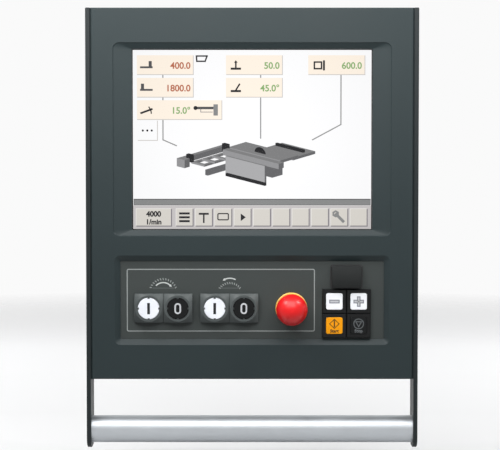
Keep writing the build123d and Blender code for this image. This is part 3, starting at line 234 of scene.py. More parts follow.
def brushed(name, colour, roughness, stretch, line_size=0.35, line_depth=0.004, bare=1.0):
    """Metal with fine lines where it was ground or drawn, long where the stretch is small."""
    metal = surface(name, {"Metallic": bare})
    lines = metal.clouds(line_size, detail=3, stretch=stretch)
    cloud = metal.clouds(size=30, detail=2)
    metal.dress({
        "Base Color": metal.tones(colour, low=0.92, high=1.03, share=lines * 0.6 + cloud * 0.4),
        "Roughness": roughness + lines.swing(0.12) + cloud.swing(0.06),
    })
    metal.relief(lines, line_depth)
    return metal


def rubber(name, colour):
    """Soft black rubber with a dry, paler bloom in patches."""
    skin = surface(name, {"Specular IOR Level": 0.2})
    bloom = skin.clouds(size=9, detail=4, limits=(0.35, 0.75))
    skin.dress({
        "Base Color": skin.tones(colour, low=1.0, high=1.35, share=bloom),
        "Roughness": 0.72 + bloom * 0.16,
    })
    skin.relief(skin.grain(size=0.7, detail=2), depth=0.02)
    return skin


def circuit_board(name):
    """Green solder resist over rows of copper tracks, with the pads of small parts between them."""
    pad_spacing, pad_reach = 9, 0.18
    board = surface(name, {"Coat Weight": 0.3, "Coat Roughness": 0.2})
    patches = board.clouds(size=18, detail=2, stretch=(1, 1, 0.2), limits=(0.45, 0.55))
    tracks = board.bands(pitch=2.2, direction="X") * patches
    cell_sockets = {"Vector": board.place(), "Scale": 1 / (pad_spacing * MM)}
    pads = pad_reach - board.node("TexVoronoi", {"feature": "F1"}, cell_sockets) > 0
    resist = board.mix(shade(16, 84, 48), shade(34, 118, 66), tracks)
    board.dress({
        "Base Color": board.mix(resist, shade(196, 190, 172), pads),
        "Roughness": 0.45 - pads * 0.15,
    })
    board.relief(tracks, depth=0.03)
    return board


def ribbon(name):
    """Flat grey cable of many cores side by side."""
    cable = surface(name, {"Specular IOR Level": 0.4, "Roughness": 0.55})
    cores = cable.bands(pitch=1.27, direction="Z")
    cable.dress({"Base Color": cable.mix(shade(120, 122, 126), shade(176, 178, 182), cores)})
    cable.relief(cores, depth=0.25)
    return cable


def lit(name, colour, centre, reach):
    """A colour on the lit screen, a little weaker towards the corners as the backlight falls off."""
    glow = surface(name, {
        "Base Color": NO_LIGHT,
        "Specular IOR Level": 0.0,
        "Roughness": 0.6,
        "Emission Strength": 1.08,
    })
    away = glow.contrast(glow.distance(centre), low=0.3 * reach, high=reach)
    glow.dress({"Emission Color": glow.tones(colour, low=1.0, high=0.93, share=away)})
    return glow


def printed(name, colour):
    """Screen-printed ink, slightly uneven in its cover."""
    ink = surface(name, {"Specular IOR Level": 0.3})
    cover = ink.clouds(size=0.8, detail=3)
    ink.dress({
        "Base Color": ink.tones(colour, low=0.88, high=1.0, share=cover),
        "Roughness": 0.5 + cover * 0.1,
    })
    return ink


def clear_glass(name):
    """Hard-coated glass in front of the screen: nearly all of what is behind it shows through."""
    glass = surface(name, {"Base Color": shade(30, 34, 36), "Alpha": 0.05, "Specular IOR Level": 0.5})
    smears = glass.clouds(size=40, detail=2, limits=(0.4, 0.8))
    glass.dress({"Roughness": 0.05 + smears * 0.04})
    return glass


# How far a metal's lines are stretched: they run along the direction with the small number
ALONG_X = (0.015, 1, 1)
ALONG_Y = (1, 0.05, 1)
ALONG_Z = (1, 1, 0.04)

front_paint = coated("front_paint", shade(30, 41, 43), peel_size=0.9, peel_depth=0.04, roughness=0.5)
side_paint = coated("side_plate_paint", shade(17, 25, 27), peel_size=0.7, peel_depth=0.03, roughness=0.45)
shell_paint = coated("shell_paint", shade(40, 49, 51), peel_size=0.8, peel_depth=0.04, roughness=0.5)
plate_paint = coated("switch_plate_paint", shade(55, 60, 59), peel_size=0.6, peel_depth=0.03, roughness=0.55)
mount_paint = coated("casting_paint", shade(92, 97, 99), peel_size=1.6, peel_depth=0.12, roughness=0.52)
lever_paint = coated("lever_paint", shade(30, 31, 32), peel_size=1.1, peel_depth=0.08, roughness=0.5)
bar_metal = brushed(
    "bar_aluminium", shade(176, 180, 184), roughness=0.45, stretch=ALONG_X, line_depth=0.0003, bare=0.9
)
plain_metal = brushed("plain_aluminium", shade(200, 202, 205), roughness=0.36, stretch=ALONG_Z)
zinc = brushed("zinc_steel", shade(184, 186, 190), roughness=0.34, stretch=ALL_WAYS, line_size=0.6)
black_steel = brushed("black_steel", shade(58, 60, 62), roughness=0.42, stretch=ALL_WAYS, line_size=0.5)
bright_metal = brushed("port_metal", shade(206, 208, 212), roughness=0.22, stretch=ALONG_X)
brass = brushed("brass", shade(202, 168, 98), roughness=0.3, stretch=ALONG_Y)
gasket_rubber = rubber("gasket_rubber", shade(22, 23, 23))
cap_rubber = rubber("cap_rubber", shade(27, 29, 29))
black_plastic = moulded("black_plastic", shade(26, 27, 28), roughness=0.55)
grey_plastic = moulded("contact_plastic", shade(104, 107, 110), roughness=0.5)
gland_plastic = moulded("gland_plastic", shade(84, 87, 89), roughness=0.48)
nylon = moulded("nylon", shade(226, 223, 214), roughness=0.5)
collar_plastic = moulded("collar_plastic", shade(75, 80, 80), roughness=0.42, shine=0.2)
bezel_plastic = moulded("bezel_plastic", shade(12, 13, 14), roughness=0.4, shine=0.2)
white_plastic = moulded("white_plastic", shade(236, 239, 245), roughness=0.42, coat=0.1)
key_plastic = moulded("key_white", shade(244, 246, 250), roughness=0.42, coat=0.1)
dark_plastic = moulded("button_black", shade(6, 8, 9), roughness=0.45, shine=0.18)
orange_plastic = moulded("orange_plastic", shade(238, 154, 0), roughness=0.42, shine=0.25, coat=0.05)
red_plastic = moulded(
    "stop_red", shade(220, 6, 12), roughness=0.5, shine=0.2, coat=0.6, coat_roughness=0.3,
    grain_depth=0.003,
)
yellow_plastic = moulded("stop_yellow", shade(224, 178, 88), roughness=0.42, coat=0.1)
tray_plastic = moulded("tray_plastic", shade(38, 40, 41), roughness=0.5)
board_resist = circuit_board("board_resist")
flat_cable = ribbon("flat_cable")
screen_glass = clear_glass("screen_glass")
pale_ink = printed("pale_ink", shade(140, 145, 143))
faint_ink = printed("faint_ink", shade(92, 97, 96))
arrow_ink = printed("arrow_ink", shade(196, 200, 198))
line_ink = printed("line_ink", shade(150, 155, 154))
white_ink = printed("white_ink", shade(200, 202, 206))
black_ink = printed("black_ink", shade(8, 10, 13))
grey_ink = printed("grey_ink", shade(138, 141, 148))
brown_ink = printed("brown_ink", shade(60, 34, 4))
dim_ink = printed("dim_ink", shade(92, 96, 98))

NODE_FINISHES = {
    front_paint: ["front_panel"],
    side_paint: ["left_side_plate", "right_side_plate"],
    shell_paint: ["rear_shell"],
    plate_paint: ["control_plate"],
    mount_paint: ["mount_plate", "tilt_knuckle"],
    lever_paint: ["clamp_lever"],
    bar_metal: ["grab_bar"],
    plain_metal: ["bar_end_plugs", "heat_sink", "power_module"],
    zinc: [
        "display_carrier", "inner_screws", "control_plate_nuts", "button_springs", "tilt_bolt",
        "data_port_hinge_pin",
    ],
    black_steel: ["side_plate_screws", "bar_screws", "mount_screws"],
    bright_metal: ["data_port_socket"],
    brass: ["board_standoffs"],
    gasket_rubber: ["shell_gasket", "screen_gasket", "control_plate_gasket"],
    cap_rubber: ["data_port_cap"],
    black_plastic: ["display_cell", "board_connectors", "switch_lock_nuts", "data_port_frame"],
    tray_plastic: ["display_module"],
    grey_plastic: ["switch_contact_blocks", "key_contacts", "e_stop_plunger"],
    gland_plastic: ["cable_gland", "gland_lock_nut"],
    nylon: ["tilt_washers"],
    collar_plastic: [switch + "_collar" for switch in SWITCHES],
    bezel_plastic: [key + "_bezel" for key in KEYS],
    white_plastic: ["main_saw_on_button", "scoring_saw_on_button"],
    key_plastic: ["minus_key", "plus_key"],
    dark_plastic: ["main_saw_off_button", "scoring_saw_off_button", "stop_key"],
    orange_plastic: ["start_key"],
    red_plastic: ["e_stop_head"],
    yellow_plastic: ["e_stop_collar"],
    board_resist: ["main_board", "key_board"],
    flat_cable: ["display_cable"],
    screen_glass: ["touch_glass"],
}
for finish, names in NODE_FINISHES.items():
    for name in names:
        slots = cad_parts[name].data.materials
        slots.clear()
        slots.append(finish.holder)


# Places on the part, and new objects
def middle(node):
    low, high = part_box(node)
    return (low + high) / 2


def face_centre(node):
    """The middle of a node's face that looks to the user."""
    centre = middle(node)
    centre.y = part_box(node)[0].y
    return centre


def add_object(name, data):
    made = bpy.data.objects.new(name, data)
    bpy.context.scene.collection.objects.link(made)
    return made


def add_mesh(name, mesh, finishes):
    data = bpy.data.meshes.new(name)
    mesh.to_mesh(data)
    mesh.free()
    for finish in finishes:
        data.materials.append(finish.holder)
    return add_object(name, data)


def add_piece(name, mesh, finishes, body):
    piece = add_mesh(name, mesh, finishes)
    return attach(piece, body)


# Flat marks
INK_THICK = 0.02  # mm
LAYER = 0.03  # mm from one layer of ink to the next
BOLD = 0.022  # how far a letter's outline moves out, as a share of its size
HEAVY = 0.042
ROUND_SIDES = 40
ARC_STEPS = 24
CORNER_STEPS = 6


class Marks:
    """Flat marks on a face that looks to the user, drawn in mm across and up from one point of the part."""

    def __init__(self, name, body, at, inks):
        self.name = name
        self.body = body
        self.at = at
        self.inks = inks
        self.mesh = bmesh.new()

    def lay(self, corners, ink, x=0.0, z=0.0, size=(1, 1), turn=0.0, layer=0):
        """Sizes, turns and moves a new shape, and gives it its ink. A higher layer lies over a lower one."""
        spot = Matrix.Translation((x, z, layer * LAYER)) @ Matrix.Rotation(math.radians(turn), 4, "Z")
        bmesh.ops.transform(self.mesh, matrix=spot @ Matrix.Diagonal((*size, 1, 1)), verts=corners)
        for face in {face for corner in corners for face in corner.link_faces}:
            face.material_index = self.inks.index(ink)

    def bar(self, ink, x, z, width, height, turn=0.0, layer=0):
        made = bmesh.ops.create_grid(self.mesh, x_segments=1, y_segments=1, size=0.5)
        self.lay(made["verts"], ink, x, z, (width, height), turn, layer)

    def disc(self, ink, x, z, width, height, sides=ROUND_SIDES, turn=0.0, layer=0):
        made = bmesh.ops.create_circle(self.mesh, cap_ends=True, radius=0.5, segments=sides)
        self.lay(made["verts"], ink, x, z, (width, height), turn, layer)

    def ring(self, ink, x, z, outside, inside, sides=ROUND_SIDES, turn=0.0, layer=0):
        """A band between two ovals or polygons, each given as (width, height)."""
        corners = []
        for width, height in (outside, inside):
            made = bmesh.ops.create_circle(self.mesh, radius=0.5, segments=sides)
            bmesh.ops.scale(self.mesh, vec=(width, height, 1), verts=made["verts"])
            corners += made["verts"]
        edges = {edge for corner in corners for edge in corner.link_edges}
        bmesh.ops.bridge_loops(self.mesh, edges=list(edges))
        self.lay(corners, ink, x, z, turn=turn, layer=layer)

    def arc(self, ink, x, z, radius, stroke, start, sweep, layer=0):
        """A bent stroke about (x, z), from an angle in degrees through a sweep."""
        before = set(self.mesh.verts)
        ends = [self.mesh.verts.new((radius + side * stroke / 2, 0, 0)) for side in (-1, 1)]
        edge = self.mesh.edges.new(ends)
        bmesh.ops.rotate(self.mesh, matrix=Matrix.Rotation(math.radians(start), 3, "Z"), verts=ends)
        bmesh.ops.spin(
            self.mesh, geom=[*ends, edge], axis=(0, 0, 1), angle=math.radians(sweep), steps=ARC_STEPS
        )
        self.lay(list(set(self.mesh.verts) - before), ink, x, z, layer=layer)

    def patch(self, ink, points, layer=0):
        """A flat patch with these corners."""
        corners = [self.mesh.verts.new((x, z, 0)) for x, z in points]
        self.mesh.faces.new(corners)
        self.lay(corners, ink, layer=layer)

    def stroke(self, ink, points, width, layer=0):
        """A line of one width from point to point."""
        for (x0, z0), (x1, z1) in zip(points, points[1:]):
            length = math.hypot(x1 - x0, z1 - z0) + width
            turn = math.degrees(math.atan2(z1 - z0, x1 - x0))
            self.bar(ink, (x0 + x1) / 2, (z0 + z1) / 2, length, width, turn, layer)

    def outline(self, ink, x, z, width, height, corner, stroke, layer=0):
        """The line round a rectangle with rounded corners."""
        made = bmesh.ops.create_grid(self.mesh, x_segments=1, y_segments=1, size=0.5)
        bmesh.ops.scale(self.mesh, vec=(width, height, 1), verts=made["verts"])
        rounded = bmesh.ops.bevel(
            self.mesh, geom=made["verts"], offset=corner, offset_type="OFFSET", segments=CORNER_STEPS,
            profile=0.5, affect="VERTICES", material=-1,
        )
        inner = next(iter({face for spot in rounded["verts"] for face in spot.link_faces}))
        band = bmesh.ops.inset_individual(self.mesh, faces=[inner], thickness=stroke)["faces"]
        corners = list({spot for face in band for spot in face.verts})
        bmesh.ops.delete(self.mesh, geom=[inner], context="FACES_ONLY")
        self.lay(corners, ink, x, z, layer=layer)

    def words(self, ink, text, x, z, size, align="CENTER", layer=0, weight=BOLD):
        letters = bpy.data.curves.new("letters", "FONT")
        letters.body = text
        letters.size = size
        letters.offset = weight * size
        letters.align_x = align
        letters.align_y = "CENTER"
        holder = bpy.data.objects.new("letters", letters)
        flat = bpy.data.meshes.new_from_object(holder)
        before = set(self.mesh.verts)
        self.mesh.from_mesh(flat)
        self.lay(list(set(self.mesh.verts) - before), ink, x, z, layer=layer)
        bpy.data.objects.remove(holder)
        bpy.data.curves.remove(letters)
        bpy.data.meshes.remove(flat)

    def done(self):
        """Turns the marks upright, puts them on the part and gives the ink its thickness."""
        bmesh.ops.recalc_face_normals(self.mesh, faces=self.mesh.faces)
        turned = [face for face in self.mesh.faces if face.normal.z < 0]
        bmesh.ops.reverse_faces(self.mesh, faces=turned)
        place = Matrix.Translation(self.at) @ Matrix.Scale(MM, 4) @ UPRIGHT
        bmesh.ops.transform(self.mesh, matrix=place, verts=self.mesh.verts)
        piece = add_piece(self.name, self.mesh, self.inks, self.body)
        thick = piece.modifiers.new("ink", "SOLIDIFY")
        thick.thickness = INK_THICK * MM
        thick.offset = 1


# Marks on the switch plate: a line round the switches, and over each pair the saw blade that it drives
SWITCH_LINE = (-129.5, -142.0, 64.8, -77.1)  # left, bottom, right and top
LINE_CORNER = 2.0
LINE_STROKE = 1.0
TOOTH = (2.2, 1.0)  # length and width
TOOTH_LEAN = 20  # degrees
FOOT_SHARE = 1.6  # of the blade's radius
FOOT_STROKE = 0.6
ARROW_STROKE = 1.2
ARROW_TIP = (3.4, 3.6)  # width and length
# Where a sign stands from the middle of its two buttons, how far its blade and its arrow spread to each
# side in degrees, and which way the arrow points: 1 is clockwise
BLADE_SIGNS = {
    "main_saw": dict(shift=-0.3, rise=15.9, radius=13.9, spread=68, teeth=13, foot=4.6),
    "scoring_saw": dict(shift=0.5, rise=12.5, radius=13.2, spread=52, teeth=11, foot=8.0),
}
ARROW_SIGNS = {
    "main_saw": dict(shift=-0.3, rise=15.9, radius=10.3, spread=47, way=1),
    "scoring_saw": dict(shift=0.5, rise=18.6, radius=12.1, spread=29, way=-1),
}


def round_place(x, z, radius, angle):
    return x + radius * math.cos(math.radians(angle)), z + radius * math.sin(math.radians(angle))


def blade_sign(marks, at, shift, rise, radius, spread, teeth, foot):
    """The upper part of a saw blade: slanted teeth over a thin foot line."""
    x, z = at.x + shift, at.z + rise
    for tooth in range(teeth):
        angle = 90 + spread * (2 * tooth / (teeth - 1) - 1)
        spot = round_place(x, z, radius, angle)
        marks.bar(pale_ink, *spot, *TOOTH, angle + TOOTH_LEAN, layer=1)
    marks.bar(faint_ink, x, z + foot, FOOT_SHARE * radius, FOOT_STROKE)


def arrow_sign(marks, at, shift, rise, radius, spread, way):
    """A bent arrow over the blade, for the way that it turns."""
    x, z = at.x + shift, at.z + rise
    marks.arc(arrow_ink, x, z, radius, ARROW_STROKE, start=90 - spread, sweep=2 * spread)
    tip = 90 - way * spread
    spot = round_place(x, z, radius, tip)
    marks.disc(arrow_ink, *spot, *ARROW_TIP, sides=3, turn=tip - 90 - 90 * way, layer=1)


def plate_marks():
    plate = face_centre("control_plate")
    inks = [line_ink, pale_ink, faint_ink, arrow_ink]
    marks = Marks("switch_field_print", "panel", (0, plate.y, 0), inks)
    left, bottom, right, top = SWITCH_LINE
    centre = ((left + right) / 2, (bottom + top) / 2)
    marks.outline(line_ink, *centre, right - left, top - bottom, LINE_CORNER, LINE_STROKE)
    for saw in SAWS:
        pair = (middle(saw + "_on_button") + middle(saw + "_off_button")) / 2 / MM
        blade_sign(marks, pair, **BLADE_SIGNS[saw])
        arrow_sign(marks, pair, **ARROW_SIGNS[saw])
    marks.done()


# Marks on the push buttons and keys
ON_BAR = (2.8, 11.6)
OFF_OVAL = (6.8, 11.3)
OFF_CORNER = 3.3
OFF_STROKE = 1.6
LEVEL_BAR = (10.8, 3.8)
UPRIGHT_BAR = (3.8, 10.8)
BAR_RIM = 1.1
SIGN_RISE = 2.0
WORD_RISE = -5.6
WORD_SIZE = 4.5
START_DIAMOND = ((11.0, 10.4), (8.8, 8.2))
START_BAR = (1.2, 7.0)
STOP_RING = ((10.9, 10.9), (9.1, 9.1))
STOP_TRIANGLE = ((8.6, 8.6), (5.0, 5.0))
STOP_TRIANGLE_RISE = 2.4


def button_marks():
    for saw in SAWS:
        on_face = face_centre(saw + "_on_button")
        on_mark = Marks(saw + "_on_mark", saw + "_on", on_face, [black_ink])
        on_mark.bar(black_ink, 0, 0, *ON_BAR)
        on_mark.done()
        off_face = face_centre(saw + "_off_button")
        off_mark = Marks(saw + "_off_mark", saw + "_off", off_face, [white_ink])
        off_mark.outline(white_ink, 0, 0, *OFF_OVAL, OFF_CORNER, OFF_STROKE)
        off_mark.done()


def key_mark(name, inks):
    key = name + "_key"
    return Marks(name + "_mark", key, face_centre(key), inks)


def rimmed_mark(name, bars):
    """Pale bars with a grey rim, crossing in the middle of a key."""
    mark = key_mark(name, [grey_ink, white_ink])
    for width, height in bars:
        mark.bar(grey_ink, 0, 0, width, height)
    for width, height in bars:
        mark.bar(white_ink, 0, 0, width - 2 * BAR_RIM, height - 2 * BAR_RIM, layer=1)
    mark.done()


def key_marks():
    rimmed_mark("minus", [LEVEL_BAR])
    rimmed_mark("plus", [LEVEL_BAR, UPRIGHT_BAR])
    start = key_mark("start", [brown_ink])
    start.ring(brown_ink, 0, SIGN_RISE, *START_DIAMOND, sides=4)
    start.bar(brown_ink, 0, SIGN_RISE, *START_BAR)
    start.words(brown_ink, "Start", 0, WORD_RISE, WORD_SIZE, weight=HEAVY)
    start.done()
    stop = key_mark("stop", [dim_ink])
    stop.ring(dim_ink, 0, SIGN_RISE, *STOP_RING)
    stop.ring(dim_ink, 0, STOP_TRIANGLE_RISE, *STOP_TRIANGLE, sides=3, turn=180)
    stop.words(dim_ink, "Stop", 0, WORD_RISE, WORD_SIZE, weight=HEAVY)
    stop.done()


# The page on the screen, drawn from the screen's middle
SCREEN_SIZE = (246.0, 184.5)
SCREEN_REACH = math.hypot(*SCREEN_SIZE) / 2 * MM
PAGE_INKS = []
cell = face_centre("display_cell")


def glow(name, red, green, blue):
    """A colour of the page, also noted among the page's inks."""
    ink = lit("screen_" + name, shade(red, green, blue), cell, SCREEN_REACH)
    PAGE_INKS.append(ink)
    return ink


page_white = glow("white", 253, 253, 254)
field_cream = glow("cream", 255, 243, 228)
field_edge = glow("edge", 206, 202, 198)
digit_red = glow("red", 188, 110, 82)
digit_green = glow("green", 140, 178, 116)
icon_dark = glow("dark", 50, 50, 52)
leader_grey = glow("leader", 150, 150, 150)
strip_grey = glow("strip", 140, 141, 141)
strip_edge = glow("strip_edge", 88, 88, 90)
key_row = glow("key_row", 200, 196, 196)
key_face = glow("key_face", 217, 213, 206)
key_light = glow("key_light", 238, 236, 232)
key_shadow = glow("key_shadow", 126, 122, 128)
steel_top = glow("steel_top", 128, 128, 129)
steel_front = glow("steel_front", 150, 150, 152)
steel_pale = glow("steel_pale", 172, 172, 174)
steel_side = glow("steel_side", 104, 104, 106)
steel_black = glow("steel_black", 48, 48, 50)

# Layers of the upper page. Leader lines lie under the fields that they join
LEADER_LAYER = 0.5
SHADOW_LAYER = 1
FIELD_LAYER = 2
SIGN_LAYER = 3

FIELD_HEIGHT = 19.5
FIELD_DROP = 0.5  # how far a field's shadow is moved to the right and down
FIELD_SPARE = 0.6  # how much larger the shadow is
NUMBER_END = 55.3  # from the field's left end
NUMBER_DROP = 1.2
NUMBER_SIZE = 9.4
LEADER_STROKE = 1.2
TOP_ROW = 67.3
SECOND_ROW = 44.1
THIRD_ROW = 21.1
# Each value: left end, right end, bottom, ink and number
VALUE_FIELDS = [
    (-118.8, -61.0, TOP_ROW, digit_red, "400.0"),
    (-118.8, -61.0, SECOND_ROW, digit_red, "1800.0"),
    (-118.8, -31.6, THIRD_ROW, digit_green, "15.0°"),
    (-27.0, 30.8, TOP_ROW, digit_green, "50.0"),
    (-27.0, 30.8, SECOND_ROW, digit_green, "45.0°"),
    (57.8, 115.8, TOP_ROW, digit_green, "600.0"),
]
LEADERS = [
    [(-92.0, TOP_ROW), (-92.0, SECOND_ROW)],
    [(-92.0, SECOND_ROW), (-92.0, THIRD_ROW)],
    [(-92.0, THIRD_ROW), (-92.0, -0.2), (-78.2, -6.2)],
    [(8.8, TOP_ROW), (8.8, SECOND_ROW)],
    [(8.8, SECOND_ROW), (8.8, 1.6)],
    [(91.6, TOP_ROW), (91.6, 15.6), (62.4, -0.1)],
]


def shadowed_field(page, ink, x, z, width, height):
    spare_size = (width + FIELD_SPARE, height + FIELD_SPARE)
    page.bar(field_edge, x + FIELD_DROP, z - FIELD_DROP, *spare_size, layer=SHADOW_LAYER)
    page.bar(ink, x, z, width, height, layer=FIELD_LAYER)


def value_fields(page):
    for left, right, bottom, ink, number in VALUE_FIELDS:
        z = bottom + FIELD_HEIGHT / 2
        shadowed_field(page, field_cream, (left + right) / 2, z, right - left, FIELD_HEIGHT)
        page.words(ink, number, left + NUMBER_END, z - NUMBER_DROP, NUMBER_SIZE, "RIGHT", SIGN_LAYER)
    for points in LEADERS:
        page.stroke(leader_grey, points, LEADER_STROKE, LEADER_LAYER)


# Signs beside the values, each drawn from its own point (x, z)
def stop_sign(page, x, z, side):
    """A stop on a rail, at its right-hand end where side is 1 and at its left where it is -1."""
    page.bar(strip_edge, x, z - 2.6, width=13.0, height=2.0, layer=SIGN_LAYER)
    page.bar(strip_edge, x + 4.0 * side, z + 0.6, width=3.2, height=6.4, layer=SIGN_LAYER)


def swivel_sign(page, x, z):
    """A turned rail and the arc that it swings through."""
    page.bar(icon_dark, x, z, width=13.4, height=2.0, turn=20, layer=SIGN_LAYER)
    page.arc(icon_dark, x - 6.0, z - 2.8, radius=11.0, stroke=1.2, start=0, sweep=42, layer=SIGN_LAYER)


def gauge_sign(page, x, z):
    """A beam with a round end, a bracket under it and a block at its far end."""
    bracket = [(x + 5.0, z - 1.6), (x + 5.0, z - 4.2), (x + 17.0, z - 4.2)]
    page.stroke(leader_grey, bracket, width=0.8, layer=SIGN_LAYER)
    page.stroke(strip_edge, [(x, z), (x + 18.0, z)], width=2.6, layer=SIGN_LAYER + 1)
    page.disc(icon_dark, x - 0.4, z, width=4.2, height=4.2, layer=SIGN_LAYER + 2)
    page.bar(strip_grey, x + 20.4, z - 2.0, width=4.6, height=11.6, layer=SIGN_LAYER + 2)


def height_sign(page, x, z):
    """An arrow that points up from a table."""
    page.bar(icon_dark, x, z, width=10.6, height=2.2, layer=SIGN_LAYER)
    page.bar(icon_dark, x, z + 3.6, width=1.6, height=5.4, layer=SIGN_LAYER)
    page.disc(icon_dark, x, z + 7.0, width=4.4, height=3.6, sides=3, layer=SIGN_LAYER)


def tilt_sign(page, x, z):
    """A slanted blade on a table."""
    page.bar(icon_dark, x, z, width=10.6, height=2.2, layer=SIGN_LAYER)
    page.bar(icon_dark, x + 2.0, z + 4.2, width=1.6, height=8.0, turn=-32, layer=SIGN_LAYER)


def fence_sign(page, x, z):
    """A board against a fence."""
    page.outline(icon_dark, x, z, width=9.0, height=8.4, corner=0.4, stroke=1.6, layer=SIGN_LAYER)
    page.bar(icon_dark, x + 6.2, z, width=2.0, height=10.4, layer=SIGN_LAYER)


def board_sign(page, x, z):
    """A board with slanted ends."""
    corners = [(x, z), (x + 11.0, z), (x + 9.0, z - 5.4), (x + 0.4, z - 5.4), (x, z)]
    page.stroke(icon_dark, corners, width=1.5, layer=FIELD_LAYER)


def more_key(page, x, z):
    """A square key with three dots."""
    shadowed_field(page, page_white, x, z, width=20.2, height=20.2)
    for step in (-4.6, 0.0, 4.6):
        page.disc(icon_dark, x + step, z - 0.3, width=2.2, height=2.2, layer=SIGN_LAYER)


def value_signs(page):
    stop_sign(page, -109.0, TOP_ROW + FIELD_HEIGHT / 2, side=1)
    stop_sign(page, -109.0, SECOND_ROW + FIELD_HEIGHT / 2, side=-1)
    swivel_sign(page, -109.0, 29.4)
    gauge_sign(page, -58.0, 32.6)
    height_sign(page, -16.8, 73.0)
    tilt_sign(page, -16.8, 50.0)
    fence_sign(page, 67.8, 76.4)
    board_sign(page, -57.4, 86.0)
    more_key(page, -108.2, 9.7)


# The machine drawing, seen from above one corner. Steps are how far across and up the page 1 mm of it goes
DRAWING_PLACE = (-24.0, -8.5)
ALONG_STEP = (0.9, -0.23)
ACROSS_STEP = (0.88, 0.26)
UP_STEP = (0.0, 0.93)
PLAIN = (steel_top, steel_front, steel_side)
DARK = (steel_side, steel_side, steel_side)
BLACK = (steel_black, steel_black, steel_black)
# Its blocks from the furthest to the nearest: along the saw cut, across it, up, and inks
MACHINE_BLOCKS = [
    ((22, 60), (14, 40), (-3, 0), PLAIN),
    ((24, 56), (30, 32), (0, 3), BLACK),
    ((4, 44), (6, 18), (-24, -3), DARK),
    ((-2, 58), (1, 22), (-3, 0), PLAIN),
    ((10, 13), (-38, -4), (-17, -11), DARK),
    ((12, 15), (-44, -4), (-5, -3), PLAIN),
    ((0, 3), (-44, -4), (-5, -3), PLAIN),
    ((0, 15), (-44, -41), (-5, -3), PLAIN),
    ((0, 15), (-32, -29), (-5, -3), PLAIN),
    ((0, 15), (-20, -17), (-5, -3), PLAIN),
    ((-5, -1), (-50, 2), (-3, 3), PLAIN),
    ((-6, 0), (-44, -41), (-4, 4), BLACK),
    ((-6, 0), (-2, 1), (-4, 4), BLACK),
    ((-7, 2), (-54, -48), (-7, 2), PLAIN),
    ((-2, 62), (-5, 1), (-7, -1), PLAIN),
    ((0, 45), (-4, -2), (-27, -8), (steel_top, steel_pale, steel_side)),
    ((0, 45), (-4, -2), (-30, -27), BLACK),
]
BLADE_PLACE = (30, 6)  # along and across
BLADE_RADIUS = 6.4
BLADE_ANGLES = range(0, 181, 12)


def tilted(along, across, up):
    """A point of the machine drawing as a place on the page."""
    steps = zip(DRAWING_PLACE, ALONG_STEP, ACROSS_STEP, UP_STEP)
    return [start + along * a + across * b + up * c for start, a, b, c in steps]


def drawn_block(page, layer, along, across, up, inks):
    """A block of the machine drawing: its top, its near side and its right-hand end."""
    (a0, a1), (b0, b1), (c0, c1) = along, across, up
    faces = [
        [(a0, b0, c1), (a1, b0, c1), (a1, b1, c1), (a0, b1, c1)],
        [(a0, b0, c0), (a1, b0, c0), (a1, b0, c1), (a0, b0, c1)],
        [(a1, b0, c0), (a1, b1, c0), (a1, b1, c1), (a1, b0, c1)],
    ]
    for ink, corners in zip(inks, faces):
        page.patch(ink, [tilted(*corner) for corner in corners], layer)


def machine_drawing(page):
    """A plain sliding table saw: table, fence, cabinet, cross-cut frame, sliding beam and blade."""
    for layer, block in enumerate(MACHINE_BLOCKS, 1):
        drawn_block(page, layer, *block)
    along, across = BLADE_PLACE
    rim = [round_place(along, 0, BLADE_RADIUS, angle) for angle in BLADE_ANGLES]
    page.patch(steel_black, [tilted(a, across, up) for a, up in rim], len(MACHINE_BLOCKS) + 1)


# The strip and the soft keys at the foot of the page
STRIP_SHEETS = [(strip_edge, -64.4, 245.0, 6.6), (strip_grey, -64.6, 244.0, 5.2)]  # middle, width and height
KEY_ROW_TOP = -67.9
KEY_MIDDLE = -80.2
KEY_HEIGHT = 17.2
SOFT_KEYS = [(-101.8, 35.8)] + [(-70.0 + 20.0 * place, 16.9) for place in range(10)]  # middle and width
# Each soft key lies in three sheets: ink, shift to the right and down, and how much larger than its face
KEY_SHEETS = [(key_light, -0.3, 0.6), (key_shadow, 0.5, 1.0), (key_face, 0.0, 0.0)]
ROW_LAYER = 1
KEY_LAYER = 2
KEY_SIGN_LAYER = 5


def speed_sign(page, x, z):
    page.words(icon_dark, "4000", x, z + 3.2, size=7.6, layer=KEY_SIGN_LAYER, weight=HEAVY)
    page.words(icon_dark, "1/min", x, z - 5.0, size=7.2, layer=KEY_SIGN_LAYER, weight=HEAVY)


def lines_sign(page, x, z):
    for step in (-4.0, 0.0, 4.0):
        page.bar(icon_dark, x, z + step, width=11.0, height=2.2, layer=KEY_SIGN_LAYER)


def rail_sign(page, x, z):
    page.bar(icon_dark, x, z + 3.6, width=10.4, height=2.0, layer=KEY_SIGN_LAYER)
    page.bar(icon_dark, x, z - 1.6, width=1.6, height=8.6, layer=KEY_SIGN_LAYER)


def frame_sign(page, x, z):
    size = dict(width=12.0, height=7.6, corner=1.6, stroke=1.2)
    page.outline(icon_dark, x, z + 0.6, **size, layer=KEY_SIGN_LAYER)


def run_sign(page, x, z):
    page.disc(icon_dark, x, z, width=9.0, height=7.0, sides=3, turn=-90, layer=KEY_SIGN_LAYER)


def wrench_sign(page, x, z):
    page.stroke(strip_grey, [(x - 3, z + 3), (x + 4, z - 4)], width=3.0, layer=KEY_SIGN_LAYER)
    page.ring(strip_grey, x - 3.6, z + 3.6, (7.6, 7.6), (3.4, 3.4), sides=6, layer=KEY_SIGN_LAYER)


KEY_SIGNS = {0: speed_sign, 1: lines_sign, 2: rail_sign, 3: frame_sign, 4: run_sign, 9: wrench_sign}


